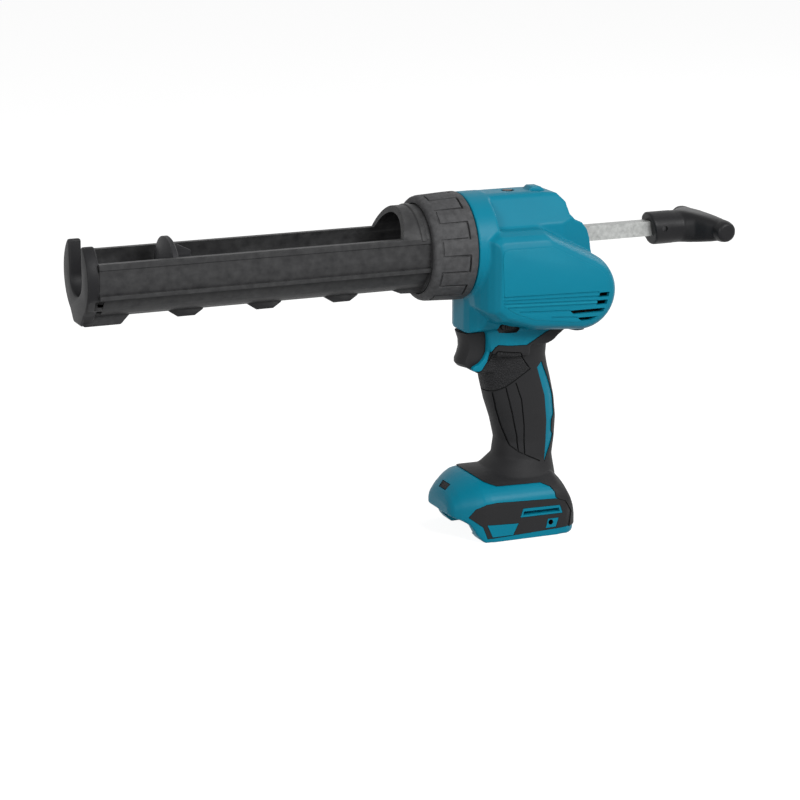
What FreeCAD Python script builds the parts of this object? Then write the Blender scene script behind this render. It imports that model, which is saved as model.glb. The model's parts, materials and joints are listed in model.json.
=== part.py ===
# Cordless caulking tool: holder, rod, drive and housing, in millimetres.
# +X runs to the rear, +Z up, and the origin lies in the middle of the foot's resting face.
import FreeCAD, Part
import math
import os
import operator
import Sketcher
from FreeCAD import Placement, Rotation, Vector
from types import SimpleNamespace

SIZES = {
    # Main lines of the tool
    "axis_height": 198.0,
    "front_reach": 35.0,
    "wall": 2.5,
    "overrun": 5.0,
    "span": 120.0,
    # Gaps: seat between fixed pieces, running on shafts, loose between moving pieces
    "seat_gap": 0.1,
    "run_gap": 0.05,
    "loose_gap": 0.4,
    # Clamp collar and the sleeve it screws on
    "collar_length": 30.6,
    "collar_radius": 36.0,
    "collar_taper": 1.4,
    "collar_edge": 1.5,
    "collar_lip": 4.5,
    "collar_bore": 33.2,
    "collar_mouth": 30.2,
    "sleeve_length": 21.0,
    "sleeve_radius": 32.6,
    "sleeve_bore": 26.0,
    "sleeve_neck": 29.5,
    "sleeve_flange": 3.0,
    "front_wall": 4.0,
    # Cartridge holder
    "holder_bore": 25.3,
    "holder_wall": 2.3,
    "holder_length": 233.6,
    "ring_length": 23.0,
    "ring_radius": 29.5,
    "flange_length": 4.5,
    "flange_radius": 32.4,
    "rail_rise": 12.0,
    "rail_band": 3.5,
    "rail_inset": 4.0,
    "ledge_drop": 9.5,
    "ledge_band": 2.0,
    "ledge_out": 1.3,
    "plate_length": 8.2,
    "plate_radius": 27.2,
    "horn_rise": 22.0,
    "slot_half": 12.5,
    "keel_drop": 31.0,
    "keel_half": 10.0,
    "keel_length": 34.0,
    "rib_pitch": 53.3,
    "rib_top": 23.0,
    "rib_foot": 11.5,
    "rib_drop": 29.5,
    "rib_half": 9.0,
    "rib_inset": 70.0,
    # Rod, piston and pull handle
    "rod_half": 4.0,
    "rod_drop": 4.2,
    "rod_height": 10.2,
    "rod_front": 236.0,
    "rod_rear": 125.0,
    "push_travel": 45.0,
    "pull_travel": 172.0,
    "piston_radius": 21.5,
    "piston_edge": 1.8,
    "piston_rim": 7.5,
    "piston_front": 8.0,
    "piston_hub": 9.0,
    "piston_depth": 14.5,
    "gusset_thick": 3.0,
    "gusset_rise": 20.0,
    "gusset_drop": 12.0,
    "piston_screw_head": 4.6,
    "piston_screw_shank": 2.4,
    "piston_screw_length": 12.0,
    "piston_screw_cap": 3.0,
    "handle_start": 105.0,
    "handle_lift": 1.5,
    "barrel_radius": 11.3,
    "barrel_edge": 1.5,
    "barrel_length": 23.0,
    "neck_length": 22.0,
    "neck_end_radius": 7.6,
    "bar_half": 35.0,
    "bar_radius": 7.2,
    "bar_edge": 2.6,
    "pin_back": 9.6,
    "pin_radius": 2.0,
    # Gear train
    "rack_module": 1.2,
    "first_module": 0.7,
    "second_module": 0.9,
    "motor_x": 38.6,
    "motor_drop": 31.0,
    "rack_backlash": 0.1,
    "rack_spare": 8.0,
    "shaft_radius": 4.0,
    "idler_radius": 2.5,
    "bush_wall": 1.6,
    "left_plate_y": 12.0,
    "plate_thick": 3.0,
    "motor_plate_y": 4.8,
    "second_start": 8.5,
    "second_width": 7.0,
    "first_start": 17.0,
    "first_width": 7.0,
    "right_plate_y": 26.0,
    "post_radius": 2.5,
    "clutch_disc": 12.0,
    "clutch_disc_thick": 0.7,
    "clutch_hub": 6.2,
    "clutch_hub_length": 8.0,
    "roller_radius": 5.0,
    "roller_half": 3.6,
    "roller_pin": 2.0,
    # Motor
    "can_radius": 18.5,
    "can_wall": 1.6,
    "can_left": 30.0,
    "can_right": 4.3,
    "cap_thick": 3.0,
    "magnet_inner": 13.4,
    "magnet_left": 22.0,
    "magnet_right": 0.5,
    "core_radius": 12.7,
    "core_left": 20.0,
    "core_right": 1.5,
    "slot_width": 2.6,
    "slot_depth": 6.5,
    "comm_radius": 4.6,
    "comm_left": 28.5,
    "comm_right": 21.5,
    "brush_height": 4.0,
    "brush_left": 28.0,
    "brush_right": 23.5,
    "brush_out": 12.0,
    "motor_shaft": 1.6,
    "motor_bush": 3.6,
    "shaft_left": 39.0,
    "fan_left": 38.6,
    "fan_right": 34.4,
    "fan_radius": 16.0,
    "fan_hub": 5.5,
    "fan_disc": 1.2,
    "blade_thick": 1.0,
    # Housing
    "neck_radius": 35.5,
    "case_front": 24.0,
    "case_rear": 53.2,
    "case_drop": 48.0,
    "case_rise": 36.0,
    "case_half": 25.0,
    "bump_rise": 1.6,
    "bump_half": 5.0,
    "bulge_front": 31.0,
    "bulge_rear": 65.6,
    "bulge_drop": 58.0,
    "bulge_rise": 13.0,
    "bulge_half": 43.0,
    "bulge_round": 24.0,
    "bulge_edge": 6.0,
    "waist_front": 33.0,
    "waist_rear": 44.0,
    "waist_drop": 67.0,
    "waist_top_drop": 30.0,
    "waist_half": 22.5,
    "grip_bottom": 37.0,
    "grip_top_drop": 62.0,
    "grip_front": 31.0,
    "grip_depth": 69.0,
    "grip_half": 29.0,
    "grip_skin": 2.0,
    "foot_front": 48.6,
    "foot_rear": 40.8,
    "foot_height": 41.0,
    "foot_half": 36.0,
    "panel_skin": 1.4,
    "panel_margin": 3.5,
    "panel_rear": 37.0,
    "panel_front": 29.0,
    "panel_top": 26.5,
    "panel_slope": 9.0,
    # Hollows of the housing
    "hall_half": 17.0,
    "hall_rise": 23.0,
    "hall_rear": 28.0,
    "hall_front": 28.5,
    "room_half": 29.5,
    "room_top_drop": 2.0,
    "room_drop": 41.0,
    "room_front": 26.5,
    "room_rear": 30.5,
    "drum_radius": 22.5,
    "drum_half": 40.0,
    "saddle_thick": 3.0,
    "saddle_left": 20.0,
    "saddle_right": 6.0,
    "channel_half": 8.0,
    "channel_front": 6.0,
    "channel_rear": 23.0,
    "channel_bottom": 31.0,
    "board_room_half": 26.0,
    "board_room_front": 20.0,
    "board_room_rear": 24.0,
    "board_room_bottom": 18.0,
    "board_room_top": 33.0,
    "slide_half": 25.0,
    "slide_lip": 4.0,
    "slide_lip_height": 4.0,
    "slide_height": 14.0,
    "slide_rear": 30.0,
    # Vents, hook slot and fasteners
    "vent_height": 2.4,
    "hook_slot_front": 3.0,
    "hook_slot_rear": 27.5,
    "hook_slot_bottom": 15.8,
    "hook_slot_top": 21.6,
    "hook_slot_depth": 5.0,
    "hook_frame": 2.2,
    "hook_x": 19.0,
    "hook_z": 9.4,
    "hook_thread": 1.65,
    "insert_radius": 3.0,
    "insert_length": 8.0,
    "insert_depth": 0.5,
    "insert_patch": 4.6,
    "badge_front": 28.0,
    "badge_rear": 6.0,
    "badge_bottom": 4.2,
    "badge_top": 12.5,
    "badge_lean": 4.0,
    "screw_seat": 8.0,
    "screw_cap": 3.0,
    "screw_head": 3.3,
    "screw_shank": 1.8,
    "screw_reach": 10.0,
    "screw_post": 5.0,
    "top_screw_x": 1.0,
    "top_screw_rise": 31.6,
    "top_recess": 4.6,
    # Trigger, lock-off button and speed dial
    "trigger_front": 36.0,
    "trigger_depth": 21.0,
    "trigger_drop": 84.0,
    "trigger_height": 25.0,
    "trigger_half": 9.5,
    "trigger_round": 1.5,
    "trigger_travel": 6.0,
    "plunger_radius": 3.0,
    "plunger_length": 9.0,
    "switch_front": 8.0,
    "switch_rear": 18.0,
    "switch_half": 10.5,
    "switch_drop": 86.0,
    "switch_top_drop": 59.0,
    "button_x": 7.5,
    "button_drop": 53.5,
    "button_length": 9.0,
    "button_height": 4.6,
    "button_half": 22.0,
    "button_dish_length": 14.5,
    "button_dish_height": 6.8,
    "button_dish_depth": 3.0,
    "dial_x": 35.2,
    "dial_z": 26.4,
    "dial_radius": 12.0,
    "dial_width": 4.4,
    "dial_hub": 5.0,
    "dial_hub_length": 5.0,
    # Electrics
    "board_half": 22.0,
    "board_front": 16.0,
    "board_rear": 22.0,
    "board_thick": 1.6,
    "sink_half": 9.0,
    "sink_length": 14.0,
    "sink_height": 8.0,
    "cap_radius": 4.0,
    "cap_height": 10.0,
    "block_half": 15.0,
    "block_front": 2.0,
    "block_rear": 26.0,
    "block_bottom": 5.0,
    "blade_half": 0.5,
    "blade_pitch": 9.0,
    "blade_length": 9.0,
    "blade_bottom": 6.5,
    "blade_top": 11.5,
    # Rod guides
    "guide_length": 9.0,
    "rear_guide_front": 36.0,
    "rear_guide_rear": 44.0,
    "rear_guide_half": 9.0,
    "rear_guide_rise": 3.0,
    "wiper_thick": 2.0,
    "wiper_band": 2.6,
}

# Tooth counts and other plain numbers
RACK_TEETH = 14
MOTOR_TEETH = 14
FIRST_TEETH = 50
SECOND_TEETH = 14
CLUTCH_TEETH = 42
PRESSURE_ANGLE = 20.0
ADDENDUM_SHARE = 0.8
DEDENDUM_SHARE = 1.05
BACKLASH_SHARE = 0.12
FLANK_STEPS = 4
FAN_BLADES = 9
CORE_SLOTS = 7
MAGNET_TURN = 130.0
DIAL_TILT = 36.87
FULL_TURN = 360.0
RIB_COUNT = 3

# Outlines as shares of the piece's length and height
CASE_SIDE_SHARES = ((0.0, 0.0), (0.0, 1.0), (0.615, 0.976), (0.732, 0.917), (0.751, 0.845), (0.803, 0.786),
                    (0.881, 0.743), (0.929, 0.683), (0.959, 0.617), (1.0, 0.492), (1.0, 0.0))
CASE_END_SHARES = ((1.0, 0.0), (1.0, 0.743), (0.52, 1.0))
CASE_PLAN_SHARES = ((0.0, 1.0), (0.57, 1.0), (1.0, 0.58))
BUMP_SHARES = ((0.465, 0.9), (0.518, 1.0), (0.596, 1.0), (0.655, 0.9))
BULGE_SHARES = ((0.0, 0.197), (0.0, 0.901), (0.072, 1.0), (0.362, 1.0), (1.0, 0.606), (1.0, 0.0),
                (0.631, 0.0), (0.352, 0.042))
WAIST_SHARES = ((0.0, 1.0), (0.0, 0.27), (0.052, 0.16), (0.27, 0.16), (0.27, 0.0), (0.8, 0.0), (1.0, 0.24),
                (1.0, 1.0))
GRIP_SHARES = ((0.0, 0.0, 0.971, 1.0), (0.0606, 0.217, 0.942, 0.828), (0.131, 0.339, 0.922, 0.638),
               (0.2525, 0.355, 0.941, 0.586), (0.394, 0.306, 0.945, 0.586), (0.535, 0.236, 0.922, 0.597),
               (0.677, 0.188, 0.881, 0.603), (0.818, 0.174, 0.841, 0.621), (0.919, 0.203, 0.862, 0.672),
               (1.0, 0.217, 0.98, 0.741))
FOOT_SIDE_SHARES = ((0.2125, 0.0), (0.1667, 0.112), (0.1253, 0.31), (0.085, 0.39), (0.0, 0.422),
                    (0.0078, 0.5585), (0.0246, 0.727), (0.0738, 0.871), (0.2058, 1.0), (0.8345, 1.0),
                    (0.889, 0.9), (0.9586, 0.571), (1.0, 0.268), (0.9877, 0.0976), (0.9463, 0.0))
FOOT_END_SHARES = ((1.0, 0.0), (1.0, 0.66), (0.86, 0.854), (0.667, 1.0))
FOOT_PLAN_SHARES = ((0.0, 0.5), (0.05, 0.66), (0.14, 0.88), (0.21, 1.0), (0.88, 1.0), (1.0, 0.75))
TRIGGER_SHARES = ((0.143, 1.0), (0.114, 0.72), (0.076, 0.44), (0.0, 0.16), (0.024, 0.04), (0.238, 0.0),
                  (0.571, 0.0), (0.88, 0.16), (1.0, 0.4), (1.0, 1.0))
# Vents as front, rear and height in shares of the bulge
VENT_SHARES = ((0.839, 0.908, 0.366), (0.825, 0.893, 0.296), (0.611, 0.870, 0.225), (0.673, 0.807, 0.155))
# Plate outlines and post places as shares of the spacing between pinion shaft and motor shaft
LEFT_PLATE_SHARES = ((-0.44, -0.35), (-0.44, -0.06), (-0.24, 0.51), (-0.24, 0.77), (0.34, 0.77),
                     (0.44, -0.06), (0.44, -0.35))
MOTOR_PLATE_SHARES = ((-0.65, -0.37), (-0.65, -0.06), (-0.24, 0.36), (-0.24, 0.77), (0.34, 0.77),
                      (0.74, 0.22), (0.74, 0.03), (1.2, 0.0), (1.54, -0.36), (1.42, -0.8), (1.14, -1.02),
                      (0.73, -0.88), (0.57, -0.74), (-0.24, -0.74))
RIGHT_PLATE_SHARES = ((-0.65, -0.37), (-0.65, -0.06), (-0.35, 0.2), (0.75, 0.2), (0.75, -0.27),
                      (0.57, -0.74), (-0.24, -0.74))
LEFT_POST_SHARES = ((-0.335, -0.22), (0.335, -0.22), (0.245, 0.665))
RIGHT_POST_SHARES = ((0.66, 0.10), (-0.155, -0.66), (-0.565, -0.21))
# Places of the housing screws, front to rear and bottom to top of the upper body, the grip and the foot
BODY_SCREW_SHARES = ((0.116, 0.873), (0.535, 0.854), (0.051, 0.159))
GRIP_SCREW_SHARES = ((0.330, 0.677), (0.454, 0.313))
FOOT_SCREW_SHARES = ((0.883, 0.588),)


class Size:
    """A length with its number and its formula in the sheet."""

    def __init__(self, number, formula):
        self.number = number
        self.formula = formula

    def __add__(self, other):
        return joined(self, "+", other)

    def __radd__(self, other):
        return joined(other, "+", self)

    def __sub__(self, other):
        return joined(self, "-", other)

    def __rsub__(self, other):
        return joined(other, "-", self)

    def __mul__(self, other):
        return joined(self, "*", other)

    def __rmul__(self, other):
        return joined(other, "*", self)

    def __truediv__(self, other):
        return joined(self, "/", other)

    def __neg__(self):
        return joined(0, "-", self)


SIGNS = {"+": operator.add, "-": operator.sub, "*": operator.mul, "/": operator.truediv}


def as_size(thing):
    return thing if isinstance(thing, Size) else Size(float(thing), repr(float(thing)))


def joined(left, sign, right):
    left = as_size(left)
    right = as_size(right)
    return Size(SIGNS[sign](left.number, right.number), "(%s %s %s)" % (left.formula, sign, right.formula))


def root(size):
    return Size(math.sqrt(size.number), "sqrt(%s)" % size.formula)


doc = FreeCAD.newDocument("caulking_tool")
sheet = doc.addObject("Spreadsheet::Sheet", "Sheet")
for row, (name, number) in enumerate(SIZES.items(), start=1):
    sheet.set("A%d" % row, name)
    sheet.set("B%d" % row, str(number))
    sheet.setAlias("B%d" % row, name)
doc.recompute()
S = SimpleNamespace(**{name: Size(float(sheet.get(name)), "Sheet.%s" % name) for name in SIZES})
nodes = []


def bind(thing, field, size):
    thing.setExpression(field, as_size(size).formula)


def spread(shares, x0, x1, z0, z1):
    """Corners of an outline from its shares of a rectangle."""
    return [(x0 + (x1 - x0) * across, z0 + (z1 - z0) * up) for across, up in shares]


def mirrored(corners):
    """A half outline on the +Y side closed by its mirror image."""
    return corners + [(-across, up) for across, up in reversed(corners)]


def draw_outline(sketch, corners):
    first = sketch.GeometryCount
    count = len(corners)
    points = [Vector(as_size(across).number, as_size(up).number, 0) for across, up in corners]
    for i in range(count):
        sketch.addGeometry(Part.LineSegment(points[i], points[(i + 1) % count]))
    for i in range(count):
        sketch.addConstraint(Sketcher.Constraint("Coincident", first + i, 2, first + (i + 1) % count, 1))
    for i, (across, up) in enumerate(corners):
        for kind, size in (("DistanceX", across), ("DistanceY", up)):
            size = as_size(size)
            place = sketch.addConstraint(Sketcher.Constraint(kind, -1, 1, first + i, 1, size.number))
            sketch.setExpression("Constraints[%d]" % place, size.formula)


def draw_circle(sketch, across, up, radius):
    across = as_size(across)
    up = as_size(up)
    radius = as_size(radius)
    circle = Part.Circle(Vector(across.number, up.number, 0), Vector(0, 0, 1), radius.number)
    geo = sketch.addGeometry(circle)
    for kind, size in (("DistanceX", across), ("DistanceY", up)):
        place = sketch.addConstraint(Sketcher.Constraint(kind, -1, 1, geo, 3, size.number))
        sketch.setExpression("Constraints[%d]" % place, size.formula)
    place = sketch.addConstraint(Sketcher.Constraint("Radius", geo, radius.number))
    sketch.setExpression("Constraints[%d]" % place, radius.formula)


def start_sketch(label, plane, offset):
    body = doc.addObject("PartDesign::Body", label)
    body.Label = label
    sketch = body.newObject("Sketcher::SketchObject", label + "_sketch")
    support = [feature for feature in body.Origin.OriginFeatures if feature.Role == plane][0]
    sketch.AttachmentSupport = (support, [""])
    sketch.MapMode = "FlatFace"
    for field, size in zip("xyz", offset):
        bind(sketch, "AttachmentOffset.Base." + field, size)
    return body, sketch


def prism(label, along, start, end, corners, holes=()):
    """An outline drawn across one axis and padded from start to end along it."""
    plane = {"X": "YZ_Plane", "Y": "XZ_Plane", "Z": "XY_Plane"}[along]
    offset = (0, 0, -end) if along == "Y" else (0, 0, start)
    body, sketch = start_sketch(label, plane, offset)
    draw_outline(sketch, corners)
    for hole in holes:
        draw_circle(sketch, *hole)
    pad = body.newObject("PartDesign::Pad", label + "_pad")
    pad.Profile = sketch
    bind(pad, "Length", end - start)
    doc.recompute()
    return body


def turned(label, along, centre, corners):
    """A profile of (place, radius) corners turned about an axis along X or Y."""
    if along == "X":
        body, sketch = start_sketch(label, "XZ_Plane", (0, centre[1], 0))
    else:
        body, sketch = start_sketch(label, "YZ_Plane", (0, centre[1], centre[0]))
    draw_outline(sketch, corners)
    turn = body.newObject("PartDesign::Revolution", label + "_turn")
    turn.Profile = sketch
    turn.ReferenceAxis = (sketch, ["H_Axis"])
    turn.Angle = FULL_TURN
    doc.recompute()
    return body


def soften(body, radius, pick):
    """Rounds the edges of a body's last feature that pick accepts."""
    base = body.Tip
    names = ["Edge%d" % (i + 1) for i, edge in enumerate(base.Shape.Edges) if pick(edge)]
    fillet = body.newObject("PartDesign::Fillet", body.Label + "_round")
    fillet.Base = (base, names)
    bind(fillet, "Radius", radius)
    doc.recompute()
    return body


def box(label, x0, x1, y0, y1, z0, z1):
    thing = doc.addObject("Part::Box", label)
    thing.Label = label
    for field, low, high in (("Length", x0, x1), ("Width", y0, y1), ("Height", z0, z1)):
        bind(thing, field, as_size(high) - as_size(low))
    for field, low in (("x", x0), ("y", y0), ("z", z0)):
        bind(thing, "Placement.Base." + field, low)
    return thing


def round_bar(label, along, centre, start, end, radius):
    """A cylinder along an axis: centre gives the two other places in X, Y, Z order."""
    thing = doc.addObject("Part::Cylinder", label)
    thing.Label = label
    bind(thing, "Radius", radius)
    bind(thing, "Height", as_size(end) - as_size(start))
    turn = {"X": Rotation(Vector(0, 1, 0), 90), "Y": Rotation(Vector(1, 0, 0), -90), "Z": Rotation()}[along]
    thing.Placement = Placement(Vector(0, 0, 0), turn)
    place = list(centre)
    place.insert("XYZ".index(along), start)
    for field, size in zip("xyz", place):
        bind(thing, "Placement.Base." + field, size)
    return thing


def fused(label, things):
    whole = doc.addObject("Part::MultiFuse", label)
    whole.Label = label
    whole.Shapes = things
    return whole


def common(label, things):
    whole = doc.addObject("Part::MultiCommon", label)
    whole.Label = label
    whole.Shapes = things
    return whole


def cut(label, base, tool):
    whole = doc.addObject("Part::Cut", label)
    whole.Label = label
    whole.Base = base
    whole.Tool = tool
    return whole


def group(label, things):
    whole = doc.addObject("Part::Compound", label)
    whole.Label = label
    whole.Links = things
    return whole


def keep(thing):
    nodes.append(thing)
    return thing


def involute(angle):
    return math.tan(angle) - angle


def gear_points(module, teeth, turn):
    """Outline of a spur gear about the origin, one tooth pointing along turn."""
    pitch = module * teeth / 2
    tip = pitch + ADDENDUM_SHARE * module
    foot = pitch - DEDENDUM_SHARE * module
    base = pitch * math.cos(math.radians(PRESSURE_ANGLE))
    half = math.pi / (2 * teeth) - BACKLASH_SHARE * module / (2 * pitch)
    half += involute(math.radians(PRESSURE_ANGLE))
    low = max(base, foot)
    radii = [low + (tip - low) * i / FLANK_STEPS for i in range(FLANK_STEPS + 1)]
    flank = [(radius, half - involute(math.acos(min(1.0, base / radius)))) for radius in radii]
    if foot < base:
        flank.insert(0, (foot, half))
    points = []
    for tooth in range(teeth):
        middle = turn + 2 * math.pi * tooth / teeth
        for radius, angle in flank:
            points.append((radius * math.cos(middle - angle), radius * math.sin(middle - angle)))
        for radius, angle in reversed(flank):
            points.append((radius * math.cos(middle + angle), radius * math.sin(middle + angle)))
    return points


def toothed(label, points, centre, start, end, bore=None):
    """A toothed outline across Y with an optional bore, as one solid."""
    y0 = as_size(start).number
    ring = [Vector(x, y0, z) for x, z in points]
    face = Part.Face(Part.makePolygon(ring + [ring[0]]))
    solid = face.extrude(Vector(0, as_size(end).number - y0, 0))
    if bore is not None:
        length = as_size(end).number - y0 + 2 * S.overrun.number
        drill = Part.makeCylinder(bore.number, length, Vector(0, y0 - S.overrun.number, 0), Vector(0, 1, 0))
        solid = solid.cut(drill)
    thing = doc.addObject("Part::Feature", label)
    thing.Label = label
    thing.Shape = solid
    bind(thing, "Placement.Base.x", centre[0])
    bind(thing, "Placement.Base.z", centre[1])
    return thing


def meshing_turn(angle, turn, teeth, other_teeth):
    """Turn of a second gear so that it meshes with a first one across the line at angle."""
    part = (angle - turn) * teeth / (2 * math.pi)
    return angle + math.pi - (0.5 - part) * 2 * math.pi / other_teeth


# Main lines
axis = S.axis_height
front = -S.front_reach
motor_z = axis - S.motor_drop
case_bottom = axis - S.case_drop
case_top = axis + S.case_rise
bulge_bottom = axis - S.bulge_drop
bulge_top = axis + S.bulge_rise
waist_bottom = axis - S.waist_drop
waist_top = axis - S.waist_top_drop
grip_top = axis - S.grip_top_drop
grip_height = grip_top - S.grip_bottom
hall_top = axis + S.hall_rise
room_top = axis - S.room_top_drop
room_bottom = axis - S.room_drop
top_screw_z = axis + S.top_screw_rise
trigger_bottom = axis - S.trigger_drop
switch_bottom = axis - S.switch_drop
switch_top = axis - S.switch_top_drop
button_z = axis - S.button_drop
collar_rear = front - S.loose_gap
collar_front = collar_rear - S.collar_length
sleeve_front = front - S.sleeve_length
holder_rear = sleeve_front - S.loose_gap
ring_front = holder_rear - S.flange_length - S.ring_length
plate_front = holder_rear - S.holder_length - S.plate_length
plate_rear = plate_front + S.plate_length
rod_bottom = axis - S.rod_drop
rod_top = rod_bottom + S.rod_height
rod_tip = -S.rod_front
piston_face = rod_tip - S.piston_front

# Clamp collar
keep(turned("clamp_collar", "X", (0, axis), [
    (collar_front, S.collar_mouth),
    (collar_front, S.collar_radius - S.collar_taper - S.collar_edge),
    (collar_front + S.collar_edge, S.collar_radius - S.collar_taper),
    (collar_rear - S.collar_edge, S.collar_radius),
    (collar_rear, S.collar_radius - S.collar_edge),
    (collar_rear, S.collar_bore),
    (collar_front + S.collar_lip, S.collar_bore),
    (collar_front + S.collar_lip, S.collar_mouth),
]))

# Sleeve that the collar screws on, held by its flange behind the housing's front wall
flange_front = front + S.front_wall + S.seat_gap
keep(turned("front_sleeve", "X", (0, axis), [
    (sleeve_front, S.sleeve_bore),
    (sleeve_front, S.sleeve_radius),
    (front - S.seat_gap, S.sleeve_radius),
    (front - S.seat_gap, S.sleeve_neck),
    (flange_front, S.sleeve_neck),
    (flange_front, S.sleeve_radius),
    (flange_front + S.sleeve_flange, S.sleeve_radius),
    (flange_front + S.sleeve_flange, S.sleeve_bore),
]))

# Cartridge holder: trough, ring, flange, slotted front plate, keel and ribs
holder_outer = S.holder_bore + S.holder_wall
tube = round_bar("holder_tube", "X", (0, axis), plate_rear - S.seat_gap, ring_front + S.wall, holder_outer)
below_rails = box("holder_below_rails", plate_front, holder_rear, -S.span, S.span, axis - S.span,
                  axis + S.rail_rise)
rails = []
for side, low, high in (("left", -holder_outer, S.rail_inset - holder_outer),
                        ("right", holder_outer - S.rail_inset, holder_outer)):
    rails.append(box("holder_rail_" + side, plate_rear - S.seat_gap, ring_front + S.wall, low, high,
                     axis + S.rail_rise - S.rail_band, axis + S.rail_rise))
ledge = box("holder_ledge", plate_rear - S.seat_gap, ring_front + S.wall, -holder_outer - S.ledge_out,
            holder_outer + S.ledge_out, axis - S.ledge_drop - S.ledge_band / 2,
            axis - S.ledge_drop + S.ledge_band / 2)
ribs = []
for number in range(RIB_COUNT):
    middle = plate_front + S.rib_inset + S.rib_pitch * number
    ribs.append(prism("holder_rib_%d" % (number + 1), "Y", -S.rib_half, S.rib_half, [
        (middle - S.rib_foot / 2, axis - S.rib_drop), (middle + S.rib_foot / 2, axis - S.rib_drop),
        (middle + S.rib_top / 2, axis - S.holder_bore + S.wall),
        (middle - S.rib_top / 2, axis - S.holder_bore + S.wall)]))
disc = round_bar("holder_disc", "X", (0, axis), plate_front, plate_rear, S.plate_radius)
below_horns = box("holder_below_horns", plate_front - S.overrun, plate_rear + S.overrun, -S.span, S.span,
                  axis - S.span, axis + S.horn_rise)
plate = common("holder_plate", [disc, below_horns])
keel = box("holder_keel", plate_front, plate_front + S.keel_length, -S.keel_half, S.keel_half,
           axis - S.keel_drop, axis - S.slot_half - S.wall)
ring = round_bar("holder_ring", "X", (0, axis), ring_front, holder_rear, S.ring_radius)
flange = round_bar("holder_flange", "X", (0, axis), holder_rear - S.flange_length, holder_rear,
                   S.flange_radius)
trough = common("holder_trough", [tube, below_rails])
holder_mass = fused("holder_mass", [trough] + rails + [ledge] + ribs + [plate, keel, ring, flange])
bore = round_bar("holder_hollow", "X", (0, axis), plate_rear, holder_rear + S.overrun, S.holder_bore)
slot_round = round_bar("holder_slot_round", "X", (0, axis), plate_front - S.overrun, plate_rear + S.overrun,
                       S.slot_half)
slot = box("holder_slot", plate_front - S.overrun, plate_rear + S.overrun, -S.slot_half, S.slot_half, axis,
           axis + S.span)
keep(cut("cartridge_holder", holder_mass, fused("holder_cuts", [bore, slot_round, slot])))

# Rod with its rack teeth, the piston in front and the pull handle behind
idler_x = S.motor_x - S.first_module * (MOTOR_TEETH + FIRST_TEETH) / 2
idler_z = motor_z
pinion_radius = S.rack_module * RACK_TEETH / 2
pinion_z = rod_bottom + S.rack_module * ADDENDUM_SHARE - pinion_radius - S.rack_backlash
second_reach = S.second_module * (SECOND_TEETH + CLUTCH_TEETH) / 2
pinion_x = idler_x - root(second_reach * second_reach - (pinion_z - idler_z) * (pinion_z - idler_z))


def rack_points():
    """Side outline of the rod with teeth below, from its front end to its rear end."""
    module = S.rack_module.number
    pitch = math.pi * module
    slope = math.tan(math.radians(PRESSURE_ANGLE))
    half = pitch / 4 - BACKLASH_SHARE * module / 2
    tip_half = half - ADDENDUM_SHARE * module * slope
    foot_half = half + DEDENDUM_SHARE * module * slope
    low = rod_bottom.number
    high = low + (ADDENDUM_SHARE + DEDENDUM_SHARE) * module
    middle = pinion_x.number
    count_back = int((S.push_travel + S.rack_spare).number / pitch)
    count_front = int((S.pull_travel + S.rack_spare).number / pitch)
    points = [(rod_tip.number, low)]
    for tooth in range(-count_front, count_back + 1):
        gap = middle + tooth * pitch
        points.append((gap - pitch / 2 + tip_half, low))
        points.append((gap - pitch / 2 + foot_half, high))
        points.append((gap + pitch / 2 - foot_half, high))
        points.append((gap + pitch / 2 - tip_half, low))
    rear = S.rod_rear.number
    return points + [(rear, low), (rear, rod_top.number), (rod_tip.number, rod_top.number)]


handle_z = axis + S.handle_lift
pin_x = S.handle_start + S.pin_back
rod_bar = toothed("rod_bar", rack_points(), (0, 0), -S.rod_half, S.rod_half)
screw_hole = round_bar("rod_screw_hole", "X", (0, axis), rod_tip - S.overrun,
                       rod_tip + S.piston_screw_length,
                       S.piston_screw_shank + S.seat_gap)
pin_hole = round_bar("rod_pin_hole", "Y", (pin_x, handle_z), -S.span, S.span, S.pin_radius + S.run_gap)
keep(cut("rod_rack", rod_bar, fused("rod_holes", [screw_hole, pin_hole])))

piston_mass = turned("piston_mass", "X", (0, axis), [
    (piston_face, 0), (piston_face, S.piston_radius - S.piston_edge),
    (piston_face + S.piston_edge, S.piston_radius), (piston_face + S.piston_rim, S.piston_radius),
    (piston_face + S.piston_rim, S.piston_hub),
    (piston_face + S.piston_rim + S.piston_depth, S.piston_hub),
    (piston_face + S.piston_rim + S.piston_depth, 0)])
gusset_front = piston_face + S.piston_rim / 2
gusset_rear = piston_face + S.piston_rim + S.piston_depth
upright = prism("piston_upright", "Y", -S.gusset_thick / 2, S.gusset_thick / 2, [
    (gusset_front, axis - S.gusset_rise), (gusset_rear, axis - S.gusset_drop),
    (gusset_rear, axis + S.gusset_drop), (gusset_front, axis + S.gusset_rise)])
level = prism("piston_level", "Z", axis - S.gusset_thick / 2, axis + S.gusset_thick / 2, [
    (gusset_front, -S.gusset_rise), (gusset_rear, -S.gusset_drop),
    (gusset_rear, S.gusset_drop), (gusset_front, S.gusset_rise)])
socket = box("piston_socket", rod_tip - S.seat_gap, S.span, -S.rod_half - S.seat_gap,
             S.rod_half + S.seat_gap,
             rod_bottom - S.seat_gap, rod_top + S.seat_gap)
cap_seat = piston_face + S.piston_screw_cap + S.loose_gap
head_room = round_bar("piston_head_room", "X", (0, axis), piston_face - S.overrun, cap_seat,
                      S.piston_screw_head + S.seat_gap)
shank_room = round_bar("piston_shank_room", "X", (0, axis), piston_face, rod_tip + S.seat_gap,
                       S.piston_screw_shank + S.seat_gap)
keep(cut("piston", fused("piston_whole", [piston_mass, upright, level]),
         fused("piston_cuts", [socket, head_room, shank_room])))
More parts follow.
